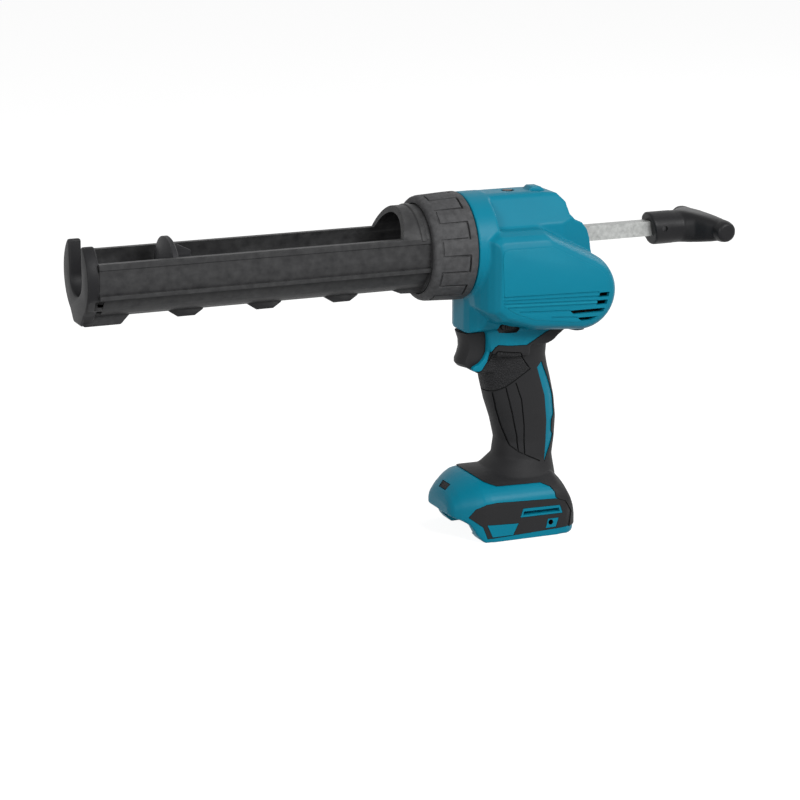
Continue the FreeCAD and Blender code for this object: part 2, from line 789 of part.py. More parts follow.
keep(turned("piston_screw", "X", (0, axis), [
    (cap_seat - S.piston_screw_cap, 0), (cap_seat - S.piston_screw_cap, S.piston_screw_head),
    (cap_seat, S.piston_screw_head), (cap_seat, S.piston_screw_shank),
    (rod_tip + S.piston_screw_length - S.loose_gap, S.piston_screw_shank),
    (rod_tip + S.piston_screw_length - S.loose_gap, 0)]))

barrel_end = S.handle_start + S.barrel_length
bar_x = barrel_end + S.neck_length
barrel = turned("handle_barrel", "X", (0, handle_z), [
    (S.handle_start, 0), (S.handle_start, S.barrel_radius - S.barrel_edge),
    (S.handle_start + S.barrel_edge, S.barrel_radius), (barrel_end, S.barrel_radius),
    (bar_x, S.neck_end_radius), (bar_x, 0)])
crossbar = turned("handle_crossbar", "Y", (bar_x, handle_z), [
    (-S.bar_half, 0), (-S.bar_half, S.bar_radius - S.bar_edge), (S.bar_edge - S.bar_half, S.bar_radius),
    (S.bar_half - S.bar_edge, S.bar_radius), (S.bar_half, S.bar_radius - S.bar_edge), (S.bar_half, 0)])
rod_room = box("handle_rod_room", S.handle_start - S.overrun, S.rod_rear + S.seat_gap,
               -S.rod_half - S.seat_gap,
               S.rod_half + S.seat_gap, rod_bottom - S.seat_gap, rod_top + S.seat_gap)
pin_room = round_bar("handle_pin_room", "Y", (pin_x, handle_z), -S.span, S.span, S.pin_radius + S.run_gap)
keep(cut("rod_handle", fused("handle_whole", [barrel, crossbar]),
         fused("handle_cuts", [rod_room, pin_room])))
keep(round_bar("handle_pin", "Y", (pin_x, handle_z), S.barrel_edge - S.barrel_radius,
               S.barrel_radius - S.barrel_edge, S.pin_radius))

# Gears
first_turn = 0.0
idler_angle = math.atan2((idler_z - motor_z).number, (idler_x - S.motor_x).number)
wheel_turn = meshing_turn(idler_angle, first_turn, MOTOR_TEETH, FIRST_TEETH)
clutch_angle = math.atan2((pinion_z - idler_z).number, (pinion_x - idler_x).number)
clutch_turn = meshing_turn(clutch_angle, wheel_turn, SECOND_TEETH, CLUTCH_TEETH)
first_end = S.first_start + S.first_width
first_tip = S.first_module * (FIRST_TEETH / 2 + ADDENDUM_SHARE)
second_end = S.second_start + S.second_width
right_end = S.right_plate_y + S.plate_thick
motor_at = (S.motor_x, motor_z)
idler_at = (idler_x, idler_z)
pinion_at = (pinion_x, pinion_z)
keep(toothed("motor_pinion", gear_points(S.first_module.number, MOTOR_TEETH, first_turn), motor_at,
             S.first_start, first_end, S.motor_shaft + S.run_gap))
keep(toothed("first_gear", gear_points(S.first_module.number, FIRST_TEETH, wheel_turn), idler_at,
             S.first_start, first_end, S.idler_radius + S.run_gap))
keep(toothed("second_pinion", gear_points(S.second_module.number, SECOND_TEETH, wheel_turn), idler_at,
             S.second_start, second_end, S.idler_radius + S.run_gap))
keep(toothed("clutch_gear", gear_points(S.second_module.number, CLUTCH_TEETH, clutch_turn), pinion_at,
             S.second_start, second_end, S.shaft_radius + S.run_gap))
keep(round_bar("idler_shaft", "Y", idler_at, S.motor_plate_y, right_end, S.idler_radius))
pinion_teeth = toothed("pinion_teeth", gear_points(S.rack_module.number, RACK_TEETH, math.pi / 2), pinion_at,
                       -S.rod_half, S.rod_half)
pinion_bar = round_bar("pinion_bar", "Y", pinion_at, -S.left_plate_y, right_end, S.shaft_radius)
keep(fused("pinion_shaft", [pinion_teeth, pinion_bar]))
disc_start = second_end + S.loose_gap
disc_end = disc_start + S.clutch_disc_thick
shaft_bore = S.shaft_radius + S.run_gap
keep(turned("clutch_hub", "Y", pinion_at, [
    (disc_start, shaft_bore), (disc_start, S.clutch_disc), (disc_end, S.clutch_disc),
    (disc_end, S.clutch_hub), (disc_end + S.clutch_hub_length, S.clutch_hub),
    (disc_end + S.clutch_hub_length, shaft_bore)]))
roller_at = (pinion_x, rod_top + S.run_gap + S.roller_radius)
keep(turned("rack_roller", "Y", roller_at, [
    (-S.roller_half, S.roller_pin + S.run_gap), (-S.roller_half, S.roller_radius),
    (S.roller_half, S.roller_radius), (S.roller_half, S.roller_pin + S.run_gap)]))
keep(round_bar("roller_pin", "Y", roller_at, -S.left_plate_y, S.motor_plate_y + S.plate_thick, S.roller_pin))

# Gear plates with their posts and bushes
gear_reach = S.motor_x - pinion_x
idler_bush = S.idler_radius + S.run_gap + S.bush_wall
shaft_bush = S.shaft_radius + S.run_gap + S.bush_wall


def about_pinion(shares):
    return [(pinion_x + gear_reach * across, pinion_z + gear_reach * up) for across, up in shares]


left_posts = about_pinion(LEFT_POST_SHARES)
right_posts = about_pinion(RIGHT_POST_SHARES)
keep(prism("left_gear_plate", "Y", -S.left_plate_y, S.plate_thick - S.left_plate_y,
           about_pinion(LEFT_PLATE_SHARES),
           [pinion_at + (shaft_bush + S.run_gap,), roller_at + (S.roller_pin + S.run_gap,)]))
keep(prism("motor_plate", "Y", S.motor_plate_y, S.motor_plate_y + S.plate_thick,
           about_pinion(MOTOR_PLATE_SHARES),
           [pinion_at + (shaft_bush + S.run_gap,), roller_at + (S.roller_pin + S.run_gap,),
            idler_at + (idler_bush + S.run_gap,), motor_at + (S.motor_bush + S.loose_gap,)]))
keep(prism("right_gear_plate", "Y", S.right_plate_y, right_end, about_pinion(RIGHT_PLATE_SHARES),
           [pinion_at + (shaft_bush + S.run_gap,), idler_at + (idler_bush + S.run_gap,)]))
posts = []
for number, place in enumerate(left_posts, start=1):
    posts.append(round_bar("left_post_%d" % number, "Y", place, S.plate_thick - S.left_plate_y + S.run_gap,
                           S.motor_plate_y - S.run_gap, S.post_radius))
for number, place in enumerate(right_posts, start=1):
    posts.append(round_bar("right_post_%d" % number, "Y", place, S.motor_plate_y + S.plate_thick + S.run_gap,
                           S.right_plate_y - S.run_gap, S.post_radius))
keep(group("plate_posts", posts))


def ring_profile(start, end, inner, outer):
    return [(start, inner), (start, outer), (end, outer), (end, inner)]


idler_bore = S.idler_radius + S.run_gap
keep(group("shaft_bushes", [
    turned("bush_left", "Y", pinion_at,
           ring_profile(-S.left_plate_y, S.plate_thick - S.left_plate_y, shaft_bore, shaft_bush)),
    turned("bush_middle", "Y", pinion_at,
           ring_profile(S.motor_plate_y, S.motor_plate_y + S.plate_thick, shaft_bore, shaft_bush)),
    turned("bush_right", "Y", pinion_at, ring_profile(S.right_plate_y, right_end, shaft_bore, shaft_bush)),
    turned("bush_idler_left", "Y", idler_at,
           ring_profile(S.motor_plate_y, S.motor_plate_y + S.plate_thick, idler_bore, idler_bush)),
    turned("bush_idler_right", "Y", idler_at,
           ring_profile(S.right_plate_y, right_end, idler_bore, idler_bush)),
]))

# Motor: can, magnets, brush end and rotor
can_inner = S.can_radius - S.can_wall
keep(turned("motor_can", "Y", motor_at, [
    (-S.can_left, can_inner), (-S.can_left, S.can_radius), (S.can_right, S.can_radius),
    (S.can_right, S.motor_bush + S.run_gap), (S.can_right - S.can_wall, S.motor_bush + S.run_gap),
    (S.can_right - S.can_wall, can_inner)]))
cap_left = -S.can_left - S.cap_thick
keep(turned("motor_end_cap", "Y", motor_at, [
    (cap_left, S.motor_bush + S.run_gap), (cap_left, S.can_radius), (-S.can_left - S.run_gap, S.can_radius),
    (-S.can_left - S.run_gap, S.motor_bush + S.run_gap)]))
keep(group("motor_bushes", [
    turned("motor_bush_left", "Y", motor_at,
           ring_profile(cap_left, -S.can_left - S.run_gap, S.motor_shaft + S.run_gap, S.motor_bush)),
    turned("motor_bush_right", "Y", motor_at,
           ring_profile(S.can_right - S.can_wall, S.can_right, S.motor_shaft + S.run_gap, S.motor_bush)),
]))
magnets = []
for number, middle in enumerate((0.0, FULL_TURN / 2), start=1):
    arc = turned("magnet_ring_%d" % number, "Y", (0, 0),
                 ring_profile(-S.magnet_left, S.magnet_right, S.magnet_inner, can_inner - S.run_gap))
    arc.Tip.Angle = MAGNET_TURN
    arc.Placement = Placement(Vector(0, 0, 0), Rotation(Vector(0, 1, 0), middle - MAGNET_TURN / 2))
    bind(arc, "Placement.Base.x", S.motor_x)
    bind(arc, "Placement.Base.z", motor_z)
    magnets.append(arc)
keep(group("motor_magnets", magnets))
keep(group("motor_brushes", [
    box("brush_front", S.motor_x - S.brush_out, S.motor_x - S.comm_radius - S.loose_gap, -S.brush_left,
        -S.brush_right,
        motor_z - S.brush_height / 2, motor_z + S.brush_height / 2),
    box("brush_rear", S.motor_x + S.comm_radius + S.loose_gap, S.motor_x + S.brush_out, -S.brush_left,
        -S.brush_right,
        motor_z - S.brush_height / 2, motor_z + S.brush_height / 2),
]))
keep(round_bar("motor_shaft", "Y", motor_at, -S.shaft_left, first_end, S.motor_shaft))
core_ring = turned("core_ring", "Y", motor_at,
                   ring_profile(-S.core_left, -S.core_right, S.motor_shaft + S.run_gap, S.core_radius))
slots = []
for number in range(CORE_SLOTS):
    groove = box("core_slot_%d" % (number + 1), 0, 0, -S.core_left - S.overrun, S.overrun, -S.slot_width / 2,
                 S.slot_width / 2)
    bind(groove, "Length", S.core_radius + S.overrun)
    turn = Rotation(Vector(0, 1, 0), FULL_TURN * number / CORE_SLOTS)
    way = turn.multVec(Vector(1, 0, 0))
    side = turn.multVec(Vector(0, 0, 1))
    groove.Placement = Placement(Vector(0, 0, 0), turn)
    reach = S.core_radius - S.slot_depth
    bind(groove, "Placement.Base.x", S.motor_x + reach * way.x - S.slot_width / 2 * side.x)
    bind(groove, "Placement.Base.y", -S.core_left - S.overrun)
    bind(groove, "Placement.Base.z", motor_z + reach * way.z - S.slot_width / 2 * side.z)
    slots.append(groove)
keep(cut("armature", core_ring, fused("core_slots", slots)))
keep(turned("commutator", "Y", motor_at,
            ring_profile(-S.comm_left, -S.comm_right, S.motor_shaft + S.run_gap, S.comm_radius)))
fan_parts = [turned("fan_disc", "Y", motor_at, [
    (-S.fan_left, S.motor_shaft + S.run_gap), (-S.fan_left, S.fan_hub),
    (-S.fan_right - S.fan_disc, S.fan_hub), (-S.fan_right - S.fan_disc, S.fan_radius),
    (-S.fan_right, S.fan_radius),
    (-S.fan_right, S.motor_shaft + S.run_gap)])]
for number in range(FAN_BLADES):
    blade = box("fan_blade_%d" % (number + 1), 0, 0, 0, 0, 0, 0)
    bind(blade, "Length", S.fan_radius - S.fan_hub)
    bind(blade, "Width", S.fan_left - S.fan_right - S.fan_disc / 2)
    bind(blade, "Height", S.blade_thick)
    turn = Rotation(Vector(0, 1, 0), FULL_TURN * number / FAN_BLADES)
    way = turn.multVec(Vector(1, 0, 0))
    blade.Placement = Placement(Vector(0, 0, 0), turn)
    reach = S.fan_hub - S.blade_thick
    bind(blade, "Placement.Base.x", S.motor_x + reach * way.x)
    bind(blade, "Placement.Base.y", -S.fan_left)
    bind(blade, "Placement.Base.z", motor_z + reach * way.z)
    fan_parts.append(blade)
keep(fused("cooling_fan", fan_parts))
doc.recompute()

# Outer form of the housing: neck, gear case, motor bulge, waist, grip core and foot


def mirrored_plan(corners):
    """A half outline on the +Y side of a plan closed by its mirror image."""
    return corners + [(along, -across) for along, across in reversed(corners)]


def three_views(label, side, end, plan, lengths, half, heights):
    """The solid that its side, end and plan outlines share."""
    x0, x1 = lengths
    z0, z1 = heights
    across = half + S.overrun
    return common(label, [
        prism(label + "_side", "Y", -across, across, spread(side, x0, x1, z0, z1)),
        prism(label + "_end", "X", x0, x1, mirrored(spread(end, 0, half, z0, z1))),
        prism(label + "_plan", "Z", z0, z1, mirrored_plan(spread(plan, x0, x1, 0, half))),
    ])


def upright_edge(corner):
    """Picks the edge along Y that stands on one corner of a side outline."""
    place = (as_size(corner[0]).number, as_size(corner[1]).number)
    reach = S.seat_gap.number

    def pick(edge):
        return all(abs(v.X - place[0]) < reach and abs(v.Z - place[1]) < reach for v in edge.Vertexes)
    return pick


def rim_edge(half):
    """Picks the edges round the two side faces of a form."""
    def pick(edge):
        ys = [v.Y for v in edge.Vertexes]
        return all(abs(abs(y) - half.number) < S.seat_gap.number for y in ys) and abs(sum(ys)) > half.number
    return pick


def grip_loft(label, inset):
    """The grip as a loft through level ovals, drawn in by inset."""
    ovals = []
    for number, (up, fore, aft, wide) in enumerate(GRIP_SHARES, start=1):
        oval = doc.addObject("Part::Ellipse", "%s_oval_%d" % (label, number))
        deep = S.grip_depth * ((aft - fore) / 2) - inset
        broad = S.grip_half * wide - inset
        oval.MajorRadius = deep.number
        oval.MinorRadius = broad.number
        bind(oval, "MajorRadius", deep)
        bind(oval, "MinorRadius", broad)
        bind(oval, "Placement.Base.x", S.grip_depth * ((aft + fore) / 2) - S.grip_front)
        bind(oval, "Placement.Base.z", S.grip_bottom + grip_height * up)
        ovals.append(oval)
    loft = doc.addObject("Part::Loft", label)
    loft.Label = label
    loft.Sections = ovals
    loft.Solid = True
    return loft


neck = round_bar("form_neck", "X", (0, axis), front, S.overrun - S.case_front, S.neck_radius)
case_lengths = (-S.case_front, S.case_rear)
case_heights = (case_bottom, case_top)
case = three_views("form_case", CASE_SIDE_SHARES, CASE_END_SHARES, CASE_PLAN_SHARES, case_lengths,
                   S.case_half, case_heights)
bump = prism("form_bump", "Y", -S.bump_half, S.bump_half,
             spread(BUMP_SHARES, -S.case_front, S.case_rear, case_bottom, case_top + S.bump_rise))
bulge_corners = spread(BULGE_SHARES, -S.bulge_front, S.bulge_rear, bulge_bottom, bulge_top)
bulge = prism("form_bulge", "Y", -S.bulge_half, S.bulge_half, bulge_corners)
soften(bulge, S.bulge_round, lambda edge: any(upright_edge(corner)(edge) for corner in bulge_corners[4:6]))
soften(bulge, S.bulge_edge, rim_edge(S.bulge_half))
waist = prism("form_waist", "Y", -S.waist_half, S.waist_half,
              spread(WAIST_SHARES, -S.waist_front, S.waist_rear, waist_bottom, waist_top))
grip_core = grip_loft("form_grip_core", S.grip_skin)
grip_skin = grip_loft("form_grip_skin", as_size(0))
foot = three_views("form_foot", FOOT_SIDE_SHARES, FOOT_END_SHARES, FOOT_PLAN_SHARES,
                   (-S.foot_front, S.foot_rear), S.foot_half, (as_size(0), S.foot_height))
doc.recompute()
form = fused("housing_form", [neck, case, bump, bulge, waist, grip_core, foot])

# Hollows and openings


def stadium(label, x, z, length, height, y0, y1):
    """A bar along Y with round ends front and rear."""
    reach = (length - height) / 2
    return fused(label, [
        box(label + "_flat", x - reach, x + reach, y0, y1, z - height / 2, z + height / 2),
        round_bar(label + "_front", "Y", (x - reach, z), y0, y1, height / 2),
        round_bar(label + "_rear", "Y", (x + reach, z), y0, y1, height / 2),
    ])


def both_sides(label, make, inner, outer):
    """The same opening on the left and the right, between two distances from the middle."""
    return [make(label + "_left", -outer, -inner), make(label + "_right", inner, outer)]


def tilted(label, start, end, radius):
    """A cylinder on the speed dial's tilted axis."""
    thing = doc.addObject("Part::Cylinder", label)
    thing.Label = label
    bind(thing, "Radius", radius)
    bind(thing, "Height", end - start)
    thing.Placement = Placement(Vector(0, 0, 0), Rotation(Vector(0, 1, 0), DIAL_TILT))
    bind(thing, "Placement.Base.x", start * math.sin(math.radians(DIAL_TILT)) - S.dial_x)
    bind(thing, "Placement.Base.z", start * math.cos(math.radians(DIAL_TILT)) + S.dial_z)
    return thing


screw_places = spread(BODY_SCREW_SHARES, -S.bulge_front, S.bulge_rear, waist_bottom, case_top)
screw_places += spread(GRIP_SCREW_SHARES, -S.grip_front, S.grip_depth - S.grip_front, S.grip_bottom,
                       grip_top)
screw_places += spread(FOOT_SCREW_SHARES, -S.foot_front, S.foot_rear, as_size(0), S.foot_height)
flange_end = flange_front + S.sleeve_flange + S.seat_gap
guide_gap = S.loose_gap / 2
hollows = [
    round_bar("hollow_neck", "X", (0, axis), front - S.overrun, flange_end, S.sleeve_neck + S.seat_gap),
    round_bar("hollow_flange", "X", (0, axis), front + S.front_wall, flange_end,
              S.sleeve_radius + S.seat_gap),
    box("hollow_hall", -S.hall_front, S.hall_rear, -S.hall_half, S.hall_half, room_bottom, hall_top),
    box("hollow_room", -S.room_front, S.room_rear, -S.room_half, S.room_half, room_bottom, room_top),
    round_bar("hollow_drum", "Y", motor_at, -S.drum_half, S.drum_half, S.drum_radius),
    round_bar("hollow_first_gear", "Y", idler_at, S.first_start - S.loose_gap, first_end + S.loose_gap,
              first_tip + S.loose_gap),
]
solids_inside = [round_bar("screw_post_%d" % number, "Y", place, -S.hall_half, S.hall_half, S.screw_post)
                 for number, place in enumerate(screw_places[:2], start=1)]
saddle_inner = S.can_radius + S.seat_gap
for label, start in (("saddle_left", -S.saddle_left), ("saddle_right", -S.saddle_right)):
    solids_inside.append(turned(label, "Y", motor_at, ring_profile(
        start, start + S.saddle_thick, saddle_inner, S.drum_radius + S.seat_gap)))
inside = cut("housing_inside", fused("hollows", hollows), fused("solids_inside", solids_inside))
guide_room = box("room_rear_guide", S.rear_guide_front - S.seat_gap,
                 S.rear_guide_rear + S.wiper_thick + S.seat_gap,
                 -S.rear_guide_half - S.seat_gap, S.rear_guide_half + S.seat_gap,
                 rod_bottom - S.rear_guide_rise - S.seat_gap, rod_top + S.rear_guide_rise + S.seat_gap)
rod_exit = box("room_rod", S.hall_rear - S.overrun, S.case_rear + S.overrun, -S.rod_half - S.loose_gap,
               S.rod_half + S.loose_gap, rod_bottom - S.loose_gap, rod_top + S.loose_gap)
switch_room = box("room_switch", -S.switch_front - S.overrun, S.switch_rear + S.seat_gap,
                  -S.switch_half - S.seat_gap, S.switch_half + S.seat_gap, switch_bottom - S.seat_gap,
                  switch_top + S.seat_gap)
trigger_top = trigger_bottom + S.trigger_height
trigger_room = box("room_trigger", -S.trigger_front - S.overrun, -S.switch_front,
                   -S.trigger_half - S.loose_gap,
                   S.trigger_half + S.loose_gap, trigger_bottom - S.loose_gap, trigger_top + S.loose_gap)
wire_room = box("room_wires", S.channel_front, S.channel_rear, -S.channel_half, S.channel_half,
                S.channel_bottom,
                switch_bottom)
board_room = box("room_board", -S.board_room_front, S.board_room_rear, -S.board_room_half, S.board_room_half,
                 S.board_room_bottom, S.board_room_top)
slide_low = box("room_slide_low", -S.foot_front - S.overrun, S.slide_rear, S.slide_lip - S.slide_half,
                S.slide_half - S.slide_lip, -S.overrun, S.slide_height)
slide_high = box("room_slide_high", -S.foot_front - S.overrun, S.slide_rear, -S.slide_half, S.slide_half,
                 S.slide_lip_height, S.slide_height)
dial_room = tilted("room_dial", -S.dial_width / 2 - S.loose_gap, S.dial_width / 2 + S.loose_gap,
                   S.dial_radius + S.loose_gap)
hub_start = -S.dial_width / 2 - S.loose_gap - S.dial_hub_length
hub_room = tilted("room_dial_hub", hub_start - S.seat_gap, -S.dial_width / 2, S.dial_hub + S.seat_gap)
openings = [guide_room, rod_exit, switch_room, trigger_room, wire_room, board_room, slide_low, slide_high,
            dial_room,
            hub_room]
button_at = (-S.button_x, button_z)
openings.append(stadium("room_button", *button_at, S.button_length + 2 * S.loose_gap,
                        S.button_height + 2 * S.loose_gap, -S.span, S.span))
openings += both_sides("room_button_dish", lambda label, y0, y1: stadium(
    label, *button_at, S.button_dish_length, S.button_dish_height, y0, y1),
    S.waist_half - S.button_dish_depth, S.waist_half + S.overrun)
bulge_length = S.bulge_front + S.bulge_rear
for number, (fore, aft, up) in enumerate(VENT_SHARES, start=1):
    middle = bulge_bottom + (bulge_top - bulge_bottom) * up
    openings += both_sides("room_vent_%d" % number, lambda label, y0, y1: box(
        label, bulge_length * fore - S.bulge_front, bulge_length * aft - S.bulge_front, y0, y1,
        middle - S.vent_height / 2, middle + S.vent_height / 2), S.drum_half - S.overrun,
        S.bulge_half + S.overrun)
openings += both_sides("room_hook", lambda label, y0, y1: box(
    label, -S.hook_slot_front, S.hook_slot_rear, y0, y1, S.hook_slot_bottom, S.hook_slot_top),
    S.foot_half - S.hook_slot_depth, S.foot_half + S.overrun)
insert_outer = S.foot_half - S.insert_depth
insert_inner = insert_outer - S.insert_length
openings += both_sides("room_insert", lambda label, y0, y1: round_bar(
    label, "Y", (S.hook_x, S.hook_z), y0, y1, S.insert_radius + S.seat_gap), insert_inner,
    S.foot_half + S.overrun)
openings.append(round_bar("room_top_screw", "Z", (S.top_screw_x, 0), top_screw_z, case_top + S.overrun,
                          S.top_recess))
openings.append(round_bar("room_top_shank", "Z", (S.top_screw_x, 0), hall_top - S.overrun, case_top,
                          S.screw_shank + S.seat_gap))
screw_rooms = []
for number, place in enumerate(screw_places, start=1):
    screw_rooms.append(round_bar("room_screw_%d" % number, "Y", place, -S.screw_reach - S.loose_gap, S.span,
                                 S.screw_shank + S.seat_gap))
    screw_rooms.append(round_bar("room_screw_head_%d" % number, "Y", place, S.screw_seat, S.span,
                                 S.screw_head + S.loose_gap))

# Side panels of the foot, let into its sides


def panel_block(label, y0, y1):
    return prism(label, "Y", y0, y1, [
        (-S.panel_front, S.panel_margin), (S.panel_rear, S.panel_margin),
        (S.panel_rear - S.panel_slope, S.panel_top), (-S.panel_front, S.panel_top)])


def panel_windows(label, y0, y1):
    hook = box(label + "_hook", -S.hook_slot_front - S.hook_frame, S.hook_slot_rear + S.hook_frame, y0, y1,
               S.hook_slot_bottom - S.hook_frame, S.hook_slot_top + S.hook_frame)
    patch = box(label + "_patch", S.hook_x - S.insert_patch, S.hook_x + S.insert_patch, y0, y1,
                S.hook_z - S.insert_patch, S.hook_slot_bottom)
    badge = prism(label + "_badge", "Y", y0, y1, [
        (-S.badge_front + S.badge_lean, S.badge_bottom), (-S.badge_rear, S.badge_bottom),
        (-S.badge_rear, S.badge_top), (-S.badge_front, S.badge_top)])
    return fused(label, [hook, patch, badge])


panel_inner = S.foot_half - S.panel_skin
panels = []
for side, block, windows in zip(("left", "right"),
                                both_sides("panel_block", panel_block, panel_inner, S.foot_half + S.overrun),
                                both_sides("panel_windows", panel_windows, S.slide_half,
                                           S.foot_half + S.overrun)):
    panels.append(keep(cut("%s_foot_panel" % side, common("panel_%s_plain" % side, [foot, block]), windows)))

# Housing halves and grip covers
shell = cut("housing_shell", form, fused("housing_cuts", [inside] + openings + screw_rooms + panels))
covers = cut("grip_covers", grip_skin, fused("cover_cuts", [form, trigger_room] + screw_rooms))
left_space = box("left_space", -S.span, S.span, -S.span, 0, -S.span, 3 * S.span)
right_space = box("right_space", -S.span, S.span, 0, S.span, -S.span, 3 * S.span)
for side, space in (("left", left_space), ("right", right_space)):
    keep(common("%s_housing" % side, [shell, space]))
    keep(common("%s_grip_cover" % side, [covers, space]))

# Fasteners
screws = []
for number, place in enumerate(screw_places, start=1):
    screws.append(turned("housing_screw_%d" % number, "Y", place, [
        (-S.screw_reach, 0), (-S.screw_reach, S.screw_shank), (S.screw_seat + S.run_gap, S.screw_shank),
        (S.screw_seat + S.run_gap, S.screw_head), (S.screw_seat + S.screw_cap, S.screw_head),
        (S.screw_seat + S.screw_cap, 0)]))
keep(group("housing_screws", screws))
keep(fused("top_screw", [
    round_bar("top_screw_head", "Z", (S.top_screw_x, 0), top_screw_z + S.run_gap, top_screw_z + S.screw_cap,
              S.screw_head),
    round_bar("top_screw_shank", "Z", (S.top_screw_x, 0), hall_top + S.seat_gap, top_screw_z + S.screw_cap,
              S.screw_shank),
]))
keep(group("hook_inserts", both_sides("hook_insert", lambda label, y0, y1: turned(
    label, "Y", (S.hook_x, S.hook_z), ring_profile(y0, y1, S.hook_thread, S.insert_radius)),
    insert_inner + S.run_gap, insert_outer)))

# Rod guides and wiper
rod_hole = box("guide_rod_hole", -S.span, S.span, -S.rod_half - guide_gap, S.rod_half + guide_gap,
               rod_bottom - guide_gap, rod_top + guide_gap)
guide_disc = round_bar("guide_disc", "X", (0, axis), flange_end - S.seat_gap - S.guide_length,
                       flange_end - S.seat_gap,
                       S.sleeve_bore - S.run_gap)
keep(cut("front_rod_guide", guide_disc, rod_hole))
guide_block = box("guide_block", S.rear_guide_front, S.rear_guide_rear - S.run_gap, -S.rear_guide_half,
                  S.rear_guide_half, rod_bottom - S.rear_guide_rise, rod_top + S.rear_guide_rise)
keep(cut("rear_rod_guide", guide_block, rod_hole))
wiper_plate = box("wiper_plate", S.rear_guide_rear, S.rear_guide_rear + S.wiper_thick,
                  -S.rod_half - S.wiper_band,
                  S.rod_half + S.wiper_band, rod_bottom - S.wiper_band, rod_top + S.wiper_band)
keep(cut("rod_wiper", wiper_plate, rod_hole))

# Trigger, switch, lock-off button and speed dial
trigger_rear = S.trigger_depth - S.trigger_front
trigger_form = prism("trigger_form", "Y", -S.trigger_half, S.trigger_half,
                     spread(TRIGGER_SHARES, -S.trigger_front, trigger_rear, trigger_bottom, trigger_top))
soften(trigger_form, S.trigger_round, rim_edge(S.trigger_half))
plunger_z = (switch_bottom + switch_top) / 2
plunger = round_bar("trigger_plunger", "X", (0, plunger_z), trigger_rear - S.overrun,
                    trigger_rear + S.plunger_length, S.plunger_radius)
keep(fused("trigger", [trigger_form, plunger]))
switch_block = box("switch_block", -S.switch_front, S.switch_rear, -S.switch_half, S.switch_half,
                   switch_bottom,
                   switch_top)
plunger_room = round_bar("switch_plunger_room", "X", (0, plunger_z), -S.switch_front - S.overrun,
                         trigger_rear + S.plunger_length + S.trigger_travel + S.loose_gap,
                         S.plunger_radius + S.loose_gap)
keep(cut("trigger_switch", switch_block, plunger_room))
keep(stadium("lock_off_button", *button_at, S.button_length, S.button_height, -S.button_half, S.button_half))
keep(tilted("speed_dial", -S.dial_width / 2, S.dial_width / 2, S.dial_radius))
keep(tilted("dial_control", hub_start, hub_start + S.dial_hub_length, S.dial_hub))

# Control board, battery terminals
board_top = S.board_room_bottom + S.seat_gap + S.board_thick
board_parts = [
    box("board_plate", -S.board_front, S.board_rear, -S.board_half, S.board_half,
        S.board_room_bottom + S.seat_gap,
        board_top),
    box("board_sink", -S.sink_length, 0, -S.sink_half, S.sink_half, board_top, board_top + S.sink_height),
]
for side, y in (("left", S.sink_half - S.board_half), ("right", S.board_half - S.sink_half)):
    board_parts.append(round_bar("board_cap_" + side, "Z", (S.sink_length, y), board_top,
                                 board_top + S.cap_height,
                                 S.cap_radius))
keep(fused("control_board", board_parts))
keep(box("terminal_block", S.block_front, S.block_rear, -S.block_half, S.block_half, S.block_bottom,
         S.slide_height - S.run_gap))
keep(group("terminal_blades", [
    box("terminal_blade_%s" % name, S.block_front - S.blade_length, S.block_front - S.run_gap,
        y - S.blade_half,
        y + S.blade_half, S.blade_bottom, S.blade_top)
    for name, y in (("left", -S.blade_pitch), ("middle", as_size(0)), ("right", S.blade_pitch))]))

doc.recompute()
broken = [thing.Label for thing in doc.Objects if "Invalid" in thing.State or "Error" in thing.State]
broken += [node.Label for node in nodes if node.Shape.isNull() or not node.Shape.isValid()]
if broken:
    raise RuntimeError("these did not build: " + ", ".join(broken))
os.makedirs("parts", exist_ok=True)
for node in nodes:
    node.Shape.exportStep("parts/%s.step" % node.Label)
    print(node.Label, len(node.Shape.Solids), round(node.Shape.Volume))
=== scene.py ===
# %% [markdown]
# A cordless caulking tool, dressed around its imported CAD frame. The CAD nodes give the
# construction and the motion. This lesson models the shells that show, from simple forms that
# are joined, melted together and cut, and then gives every surface its finish.

# %% Load the frame
import bpy
import json
import math
from mathutils import Matrix, Vector


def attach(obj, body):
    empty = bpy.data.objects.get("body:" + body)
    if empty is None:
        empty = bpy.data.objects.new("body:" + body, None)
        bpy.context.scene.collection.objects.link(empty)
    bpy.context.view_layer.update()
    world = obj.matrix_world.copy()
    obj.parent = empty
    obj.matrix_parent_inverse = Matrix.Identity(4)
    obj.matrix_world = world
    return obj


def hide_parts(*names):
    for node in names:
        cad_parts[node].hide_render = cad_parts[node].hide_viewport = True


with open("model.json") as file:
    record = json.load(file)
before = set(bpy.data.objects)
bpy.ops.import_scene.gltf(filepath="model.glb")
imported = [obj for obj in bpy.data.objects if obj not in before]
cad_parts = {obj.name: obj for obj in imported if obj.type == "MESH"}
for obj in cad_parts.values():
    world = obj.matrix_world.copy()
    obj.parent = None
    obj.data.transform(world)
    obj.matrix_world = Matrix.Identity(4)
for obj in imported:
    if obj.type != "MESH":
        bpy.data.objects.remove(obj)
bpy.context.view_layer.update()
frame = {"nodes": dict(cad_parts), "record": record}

MM = 0.001
print("CAD nodes:", len(frame["nodes"]))

# %% [markdown]
# The camera comes first, because every later choice is judged through it. Its place was worked
# out from the photograph: a long lens from the left, a little above the barrel.

# %% Camera
CAMERA_TARGET = Vector((-0.0766, 0.0, 0.0958))
CAMERA_DISTANCE = 1.8688
CAMERA_AZIMUTH = math.radians(-23.0)
CAMERA_ELEVATION = math.radians(14.5)
CAMERA_LENS = 126.0

